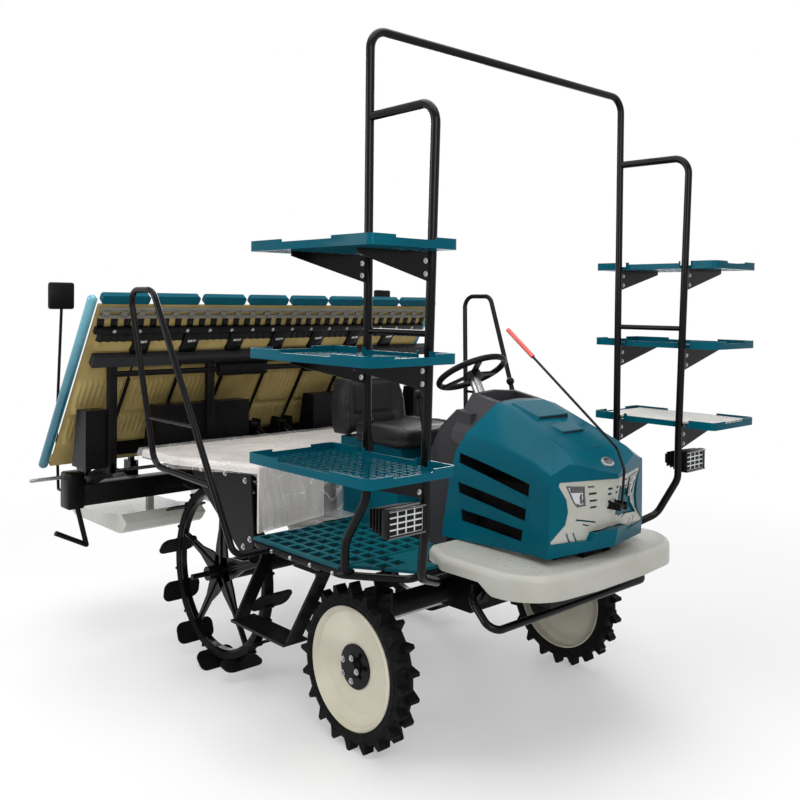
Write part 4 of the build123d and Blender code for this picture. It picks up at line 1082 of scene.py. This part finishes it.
def swollen(name, shape, cap):
    """Blow up as cloth what a function makes of a fine cube; no point moves more than the cap."""
    mesh = bmesh.new()
    bmesh.ops.create_cube(mesh, size=2)
    bmesh.ops.subdivide_edges(mesh, edges=mesh.edges[:], cuts=9, use_grid_fill=True)
    for vert in mesh.verts:
        vert.co = shape(*vert.co)
    bmesh.ops.smooth_vert(
        mesh, verts=mesh.verts[:], factor=0.5, use_axis_x=True, use_axis_y=True, use_axis_z=True)
    pad = placed(name, mesh)
    scene = bpy.context.scene
    remesh = pad.modifiers.new("remesh", "REMESH")
    remesh.mode = "VOXEL"
    remesh.voxel_size = 0.009
    even = evaluated(pad)
    pad.modifiers.clear()
    pad.data = even
    rest = [vert.co.copy() for vert in even.vertices]
    cloth = pad.modifiers.new("cloth", "CLOTH")
    cloth.settings.use_pressure = True
    cloth.settings.uniform_pressure_force = 4
    cloth.settings.effector_weights.gravity = 0
    cloth.settings.quality = 4
    cloth.point_cache.frame_start, cloth.point_cache.frame_end = 1, 20
    for step in range(1, 21):
        scene.frame_set(step)
    blown = evaluated(pad)
    pad.modifiers.clear()
    for vert, was, now in zip(even.vertices, rest, blown.vertices):
        move = now.co - was
        vert.co = was + move * min(1.0, cap / max(move.length, 1e-6))
    scene.frame_set(1)
    swelled = bmesh.new()
    swelled.from_mesh(even)
    bpy.data.objects.remove(pad)
    return swelled


def middle_and_half(node):
    """The middle of a solid's box and half its size, less the margin that the cloth fills."""
    low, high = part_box(node)
    return (low + high) / 2, (high - low) / 2 - Vector((MARGIN, MARGIN, MARGIN))


def crease(mesh, depth, reach, distance):
    """Draw points near a seam in along their normals; distance gives metres from the seam."""
    mesh.normal_update()
    for vert in mesh.verts:
        away = distance(vert.co)
        if away < reach:
            vert.co -= vert.normal * depth * (0.5 + 0.5 * math.cos(math.pi * away / reach))


# %% Cushion
MARGIN = 0.010
seat_middle, seat_half = middle_and_half("seat_cushion")


def cushion_shape(x, y, z):
    """Crowned sides and a hollow for the sitter; each number runs from -1 to 1."""
    corner = 1 - 0.12 * (abs(x) ** 4) * (abs(y) ** 4)
    hollow = 0.016 * (1 - y * y) * (1 - max(x, -0.6) ** 2) if z > 0 else 0
    side = 0.014 * smooth_step(abs(y), 0.62, 0.8) * (1 - smooth_step(x, 0.3, 1)) if z > 0 else 0
    wide = corner * (0.94 + 0.06 * x)
    return x * corner * seat_half.x, y * wide * seat_half.y, z * seat_half.z - 0.010 - hollow + side


def cushion_seam(place):
    """Distance from the seam round the seat panel on top, in metres."""
    if place.z < 0:
        return 1.0
    reach = max(abs(place.y) / 0.150, abs(place.x + 0.012) / 0.165)
    return abs(reach - 1) * 0.155


mesh = swollen("cushion_form", cushion_shape, 0.010)
crease(mesh, 0.0055, 0.012, cushion_seam)
crease(mesh, 0.004, 0.010, lambda place: abs(place.z + 0.018))
bmesh.ops.translate(mesh, vec=seat_middle, verts=mesh.verts[:])
cushion = finished("cushion", mesh, vinyl, "chassis", 80)
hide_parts("seat_cushion")

# %% Seat back
back_middle, back_half = middle_and_half("seat_back")
LEAN = 0.035 / 0.285


def back_shape(x, y, z):
    """Side bolsters and a narrower top, leaning to the rear."""
    thick = 0.030 + 0.022 * smooth_step(abs(y), 0.55, 0.85)
    front = 0.018 * smooth_step(abs(y), 0.6, 0.95) * (0.4 + 0.6 * (1 - z) / 2) if x > 0 else 0
    narrow = 1 - 0.13 * smooth_step(z, 0.1, 1.0) - 0.03 * (abs(y) ** 4) * (abs(z) ** 4)
    return x * thick + front - z * back_half.z * LEAN - 0.004, y * back_half.y * narrow, z * back_half.z


def back_seam(place):
    """Distance from the seam round the inset panel on the front of the back."""
    if place.x < -place.z * LEAN:
        return 1.0
    reach = max(abs(place.y) / 0.118, abs(place.z - 0.035) / 0.075)
    return abs(reach - 1) * 0.09


mesh = swollen("back_form", back_shape, 0.009)
crease(mesh, 0.006, 0.012, back_seam)
bmesh.ops.translate(mesh, vec=back_middle, verts=mesh.verts[:])
seat_back = finished("seat_back_pad", mesh, vinyl, "chassis", 80)
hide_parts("seat_back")

# %% [markdown]
# Clear film. The machine is new, and its rear deck is still wrapped in a thin clear film that
# hangs over the edges in soft folds and lies on the floor mat at the front. Film takes the form
# of what it covers: a flat grid is laid on the deck, what reaches past the deck's outline is bent
# down beside it, and ripples grow with the distance that it hangs.

# %% Film finish


def clear_film():
    """Clear plastic: mostly see-through, a little milky, with sharp small highlights and thin whiter lines
    along creases that are partly painted highlight.
    """
    finish = Finish(
        "clear_film", Base_Color=(0.80, 0.79, 0.77, 1), Roughness=0.08, IOR=1.45, Specular_IOR_Level=0.6)
    milky = finish.span(finish.grain(9, 3, 0.5), 0.35, 0.70, 0.16, 0.34)
    middle = finish.maths("ABSOLUTE", finish.maths("SUBTRACT", finish.grain(5, 2, 0.5), 0.5), 0.0)
    # Partly painted highlight: thin lines of the film are made more opaque, so they read as whiter streaks as
    # well as creases.
    crease_lines_painted_highlight = finish.span(middle, 0.0, 0.012, 1.0, 0.0)
    alpha = finish.maths("ADD", milky, finish.maths("MULTIPLY", crease_lines_painted_highlight, 0.30))
    finish.feed(finish.shader.inputs["Alpha"], alpha)
    soft = finish.bump(finish.grain(8, 2), 0.012, 0.6)
    finish.bump(crease_lines_painted_highlight, 0.002, 0.5, below=soft)
    finish.material.surface_render_method = "DITHERED"
    return finish


film = clear_film()

# %% Deck film
DECK_HALF = ((-1290, -860), (-1000, -860), (-560, -700), (-650, -300))
DECK_PLAN = [at(x, y, 0) for x, y in DECK_HALF + tuple((x, -y) for x, y in reversed(DECK_HALF))]
DECK_TOP = 1.000
FLOOR_TOP = 0.718


def beside_deck(place):
    """The point of the deck's outline nearest to a place, or None for a place over the deck."""
    inside, found = False, []
    for start, end in zip(DECK_PLAN, DECK_PLAN[1:] + DECK_PLAN[:1]):
        edge = end - start
        found.append(start + edge * min(max((place - start).dot(edge) / edge.length_squared, 0), 1))
        if (start.y > place.y) != (end.y > place.y):
            inside ^= place.x < start.x + (place.y - start.y) * edge.x / edge.y
    return None if inside else min(found, key=lambda near: (place - near).length)


def draped(place):
    """Where a point of the flat film comes to lie over the deck, beside it or on the mat."""
    crinkle = noise.noise(place * 6) * 0.005 + noise.noise(place * 17) * 0.002
    near = beside_deck(place)
    if near is None:
        return place + Vector((0, 0, DECK_TOP + 0.008 + crinkle))
    gap, outward = (place - near).length, (place - near).normalized()
    fold = math.sin((near.x * 0.6 + near.y) * 62 + noise.noise(near * 4) * 5)
    fold += 0.5 * math.sin((near.x - near.y) * 131 + 2)
    hang = smooth_step(gap, 0.02, 0.22)
    flare = 0.012 + 0.010 * smooth_step(gap, 0, 0.04) + hang * (0.034 + 0.013 * fold)
    down = max(gap - 0.014, 0)
    lowest = DECK_TOP - FLOOR_TOP - 0.016 - 0.004 * fold
    out = min(flare, gap) + max(down - lowest, 0) * 0.9
    return near + outward * out + Vector((0, 0, DECK_TOP + 0.008 - min(down, lowest) + crinkle))


def film_half(x):
    """Half the width of the film at a station; it tapers towards the front like the deck."""
    return 0.93 - 0.17 * min(max((x - ahead(-1000)) / 0.44, 0), 1)


FILM_LENGTH = 1.13
mesh = bmesh.new()
grid = bmesh.ops.create_grid(mesh, x_segments=130, y_segments=214, size=0.5)
front_x = ahead(-232)
for vert in grid["verts"]:
    x = front_x + (vert.co.x - 0.5) * FILM_LENGTH
    flat = Vector((x, vert.co.y * 2 * film_half(x), 0))
    wave = 0.012 * math.sin(vert.co.y * 31) + 0.03 * noise.noise(flat * 3)
    flat.x += wave * smooth_step(vert.co.x, 0.2, 0.5)
    vert.co = draped(flat)
deck_film = finished("deck_film", mesh, film, "chassis", 80)

# %% [markdown]
# Headlamps. Each is a five-cornered lamp let into the grille: a dark rim, a bright reflector, and
# two dark strips over it, one across and one down. The grille's front is a shallow V, so a helper
# gives the place on it from the distance to the middle and the height.

# %% Lamp finishes


def mirror_metal():
    finish = Finish("mirror_metal", Metallic=1.0)
    finish.paint(finish.grain(60, 3), (0.62, 0.63, 0.65), (0.42, 0.43, 0.46))
    finish.gloss(90, 4, 0.08, 0.2)
    finish.bump(finish.cells(85), 0.004, 0.8)
    return finish


mirror = mirror_metal()
lens_dark = moulded(
    "lens_dark", (0.020, 0.022, 0.026), (0.012, 0.013, 0.016), 0.12, 0.00002,
    Coat_Weight=1.0, Coat_Roughness=0.03)
led_face = moulded("led_face", (0.60, 0.61, 0.62), (0.48, 0.49, 0.50), 0.22, 0.00002, Metallic=0.6)

# %% Headlamps


def on_nose(y, z, out):
    """A place on the grille's V, out metres ahead of it."""
    (high_x, high_z), (low_x, low_z) = GRILLE[1][0], GRILLE[2][0]
    middle = low_x + (z * 1000 - low_z) / (high_z - low_z) * (high_x - low_x)
    return Vector((ahead(middle + (649.5 - middle) * abs(y) / 0.300) + out, y, z))


def lamp_drawn(amount):
    """The headlamp's outline in metres, drawn towards its middle by about an amount."""
    outline = [Vector((y, z)) / 1000 for y, z in LAMP_HALF]
    middle = sum(outline, Vector((0, 0))) / len(outline)
    return [corner + (middle - corner) * amount / (corner - middle).length for corner in outline]


rims, mirrors, lenses = bmesh.new(), bmesh.new(), bmesh.new()
for side in (-1, 1):
    outer, inner = (
        [on_nose(side * y, z, -0.003) for y, z in lamp_drawn(amount)] for amount in (-0.001, 0.008))
    for index in range(len(outer)):
        plate(rims, (outer[index - 1], outer[index], inner[index], inner[index - 1]), (0.007, 0, 0))
    plate(mirrors, [on_nose(side * y, z, -0.0025) for y, z in lamp_drawn(0.007)], (0.0035, 0, 0))
    for strip in (((203, 1030), (148, 1024), (145, 1008), (196, 1012)),
                  ((150, 1004), (146, 968), (151, 968), (155, 1004))):
        corners = [on_nose(side * y / 1000, z / 1000, 0.0005) for y, z in strip]
        plate(lenses, corners, (0.0035, 0, 0), 0.001)
finished("headlamp_rims", rims, lens_dark, "hood")
finished("headlamp_mirrors", mirrors, mirror, "hood")
finished("headlamp_lenses", lenses, lens_dark, "hood")

# %% [markdown]
# An oval blank plate on the nose: a bright rim round a dark, slightly domed field with nothing on
# it. Two discs are stretched to ovals, one on the other, and the top of each is inset.

# %% Oval plate
SLOPE = Vector((0.0613, 0, 0.0789)).normalized()
centre = Vector((ahead(692), 0, 1.1030))
across = Vector((0, 1, 0))
up = SLOPE.cross(across)
turn = Matrix((across, up, SLOPE)).transposed().to_4x4()
for name, wide, tall, low, high, finish in (
    ("badge_rim", 0.034, 0.024, -0.004, 0.004, steel),
    ("badge_field", 0.027, 0.018, 0.000, 0.0048, lens_dark),
):
    mesh = bmesh.new()
    bmesh.ops.create_cone(mesh, cap_ends=True, segments=48, radius1=1, radius2=0.93, depth=1)
    place = Matrix.Translation(centre + SLOPE * (low + high) / 2) @ turn
    size = Matrix.Diagonal((wide, tall, high - low, 1))
    bmesh.ops.transform(mesh, matrix=place @ size, verts=mesh.verts[:])
    tops = [face for face in mesh.faces if face.normal.dot(SLOPE) > 0.9 and len(face.verts) > 8]
    bmesh.ops.inset_region(mesh, faces=tops, thickness=0.004, depth=0.0012)
    finished(name, mesh, finish, "hood")

# %% [markdown]
# Faces of the work lamps. In each case sits a bright plate with rows of cups, each with a dark
# light source at its bottom. The cups are made from the cells of one grid, inset and pushed in
# one by one. Two dark strips hold the plate.

# %% Work lamp faces


def lamp_face(side):
    """A bright plate with rounded cups, facing ahead, and two dark strips at its case."""
    to_front = Matrix(((0, 0, 1, 0), (1, 0, 0, 0), (0, 1, 0, 0), (0, 0, 0, 1)))
    place = Matrix.Translation(at(545.5, side * LAMP_Y, LAMP_Z)) @ to_front
    size = Matrix.Diagonal((0.143, 0.077, 1, 1))
    grid = bmesh.ops.create_grid(bright, x_segments=4, y_segments=4, size=0.5, matrix=place @ size)
    faces = list({face for vert in grid["verts"] for face in vert.link_faces})
    bmesh.ops.inset_individual(bright, faces=faces, thickness=0.0035, depth=0)
    bmesh.ops.inset_individual(bright, faces=faces, thickness=0.003, depth=-0.0045)
    for face in faces:
        spot = face.calc_center_median()
        bar(dark, spot - Vector((0.002, 0.009, 0.0045)), spot + Vector((0.001, 0.009, 0.0045)), 0.0009)
    for z in (950, 1036):
        y = side * LAMP_Y
        bar(dark, at(551.5, y - 78, z - 3), at(554, y + 78, z + 3), 0.001)


bright, dark = bmesh.new(), bmesh.new()
for side in (-1, 1):
    lamp_face(side)
finished("work_lamp_cups", bright, led_face, "chassis")
finished("work_lamp_sources", dark, lens_dark, "chassis")

# %% [markdown]
# The lattice floor of each tray but the one with slats has ribs that stand up from it, so from a
# low place no light comes through. Under the open floor mats lies a dark pan, so their cells look
# black from above.

# %% Tray ribs
for side, word in SIDES:
    mesh = bmesh.new()
    y = side * TRAY_Y
    for level in TRAY_LEVELS[1:] if side == 1 else TRAY_LEVELS:
        low, high = level * 1000 + 1, level * 1000 + 15
        for off in spread(17, 36):
            bar(mesh, at(TRAY_X + off - 2, y - 165, low), at(TRAY_X + off + 2, y + 165, high))
        for off in spread(11, 31):
            bar(mesh, at(TRAY_X - 306, y + off - 2, low), at(TRAY_X + 306, y + off + 2, high))
    finished(f"tray_ribs_{word}", mesh, teal, "chassis")

# %% Mat pans
mesh = bmesh.new()
for side in (-1, 1):
    bar(mesh, at(-531, side * 264, 706.5), at(38, side * 741, 708.5))
    corners = ((54, 264), (54, 697), (262, 568), (262, 457), (150, 457), (150, 264))
    plate(mesh, [at(x, side * y, 706.5) for x, y in corners], (0, 0, 0.002))
finished("mat_pans", mesh, moulded_black, "chassis")

# %% [markdown]
# Bolts. Hexagon heads on washers hold the racks, the fenders, the wheels and the deck. Their
# places follow the parts that they hold.

# %% Bolts of the chassis
wall = max(abs(corner.y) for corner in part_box("rear_fenders")) * 1000
mesh = bmesh.new()
for side in (-1, 1):
    for distance, radius, places in (
        (wall, 0.009, ((-1010, 930), (-800, 940), (-640, 930), (-600, 690), (-650, 650))),
        (755, 0.006, ((-380, 692), (-250, 692), (-120, 692), (20, 692))),
        (258, 0.009, ((-930, 640), (-760, 640), (-690, 640))),
    ):
        for station, height in places:
            bolt(mesh, at(station, side * distance, height), (0, side, 0), radius)
    for level in TRAY_LEVELS:
        for station, post in ((206, 780), (526 + 34 * (level - 1.1) / 1.235, 794)):
            for drop in (30, 72):
                bolt(mesh, at(station, side * post, level * 1000 - drop), (1, 0, 0), 0.006)
finished("chassis_bolts", mesh, steel, "chassis")

# %% Bolts of the wheels
WHEEL_BOLTS = 5
for side, word in SIDES:
    mesh = bmesh.new()
    outer = max(abs(corner.y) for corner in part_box(f"front_hub_{word}"))
    hub = Vector((ahead(0), side * outer, 0.308))
    for place in range(WHEEL_BOLTS):
        turn = 2 * math.pi * place / WHEEL_BOLTS
        bolt(mesh, hub + Vector((math.cos(turn), 0, math.sin(turn))) * 0.045, (0, side, 0), 0.008)
    finished(f"front_hub_bolts_{word}", mesh, steel, f"front_wheel_{word}")

# %% [markdown]
# Floor, backdrop and light. The floor is a wide pale disc that goes over into pure white before
# the horizon, so no line shows. The white is given to camera, glossy and transmission rays only,
# so it doesn't light the machine. Large soft lamps light it.

# %% Floor and light


def studio_floor():
    mesh = bmesh.new()
    bmesh.ops.create_circle(mesh, cap_ends=True, segments=96, radius=40)
    floor = placed("floor", mesh)
    finish = Finish("floor_pale", Roughness=0.6, Specular_IOR_Level=0.2)
    finish.paint(finish.grain(2, 4), (0.86, 0.86, 0.86), (0.83, 0.83, 0.83))
    length = finish.node("VectorMath", "LENGTH", Vector=finish.place).outputs["Value"]
    rays = finish.node("LightPath").outputs
    seen = finish.maths("MAXIMUM", rays["Is Camera Ray"], rays["Is Glossy Ray"])
    share = finish.maths("MULTIPLY", finish.span(length, 1.2, 4.5, 0.33, 1.0), seen)
    mix = finish.node("MixShader", Fac=share)
    finish.feed(mix.inputs[1], finish.shader.outputs["BSDF"])
    finish.feed(mix.inputs[2], finish.node("Emission").outputs["Emission"])
    finish.feed(finish.tree.nodes["Material Output"].inputs["Surface"], mix.outputs["Shader"])
    floor.data.materials.append(finish.material)


def studio_world(ambient):
    world = bpy.data.worlds.new("studio")
    world.use_nodes = True
    bpy.context.scene.world = world
    tree = world.node_tree
    rays = tree.nodes.new("ShaderNodeLightPath").outputs
    seen = rays["Is Camera Ray"]
    for also in ("Is Glossy Ray", "Is Transmission Ray"):
        either = tree.nodes.new("ShaderNodeMath")
        either.operation = "MAXIMUM"
        tree.links.new(seen, either.inputs[0])
        tree.links.new(rays[also], either.inputs[1])
        seen = either.outputs["Value"]
    strength = tree.nodes.new("ShaderNodeMapRange")
    strength.inputs["To Min"].default_value = ambient
    tree.links.new(seen, strength.inputs["Value"])
    background = tree.nodes["Background"]
    background.inputs["Color"].default_value = (1, 1, 1, 1)
    tree.links.new(strength.outputs["Result"], background.inputs["Strength"])


def soft_lamp(name, place, target, size, power):
    light = bpy.data.lights.new(name, "AREA")
    light.shape = "RECTANGLE"
    light.size, light.size_y = size
    light.energy = power
    lamp = bpy.data.objects.new(name, light)
    lamp.location = place
    lamp.rotation_euler = (Vector(target) - Vector(place)).to_track_quat("-Z", "Y").to_euler()
    bpy.context.scene.collection.objects.link(lamp)


studio_floor()
studio_world(0.42)
soft_lamp("top_lamp", (0.6, -0.6, 5.2), (0, 0, 0.6), (4.5, 4.5), 190)
soft_lamp("front_lamp", (4.6, -2.2, 3.0), (0.4, 0, 0.9), (2.4, 2.4), 95)
soft_lamp("side_lamp", (-1.6, -5.2, 2.8), (-0.2, 0, 0.9), (3.0, 2.0), 110)
soft_lamp("rear_lamp", (-4.6, 3.2, 3.2), (0, 0, 1.2), (3.0, 2.4), 110)

# %% View transform
scene = bpy.context.scene
scene.view_settings.view_transform = "Standard"
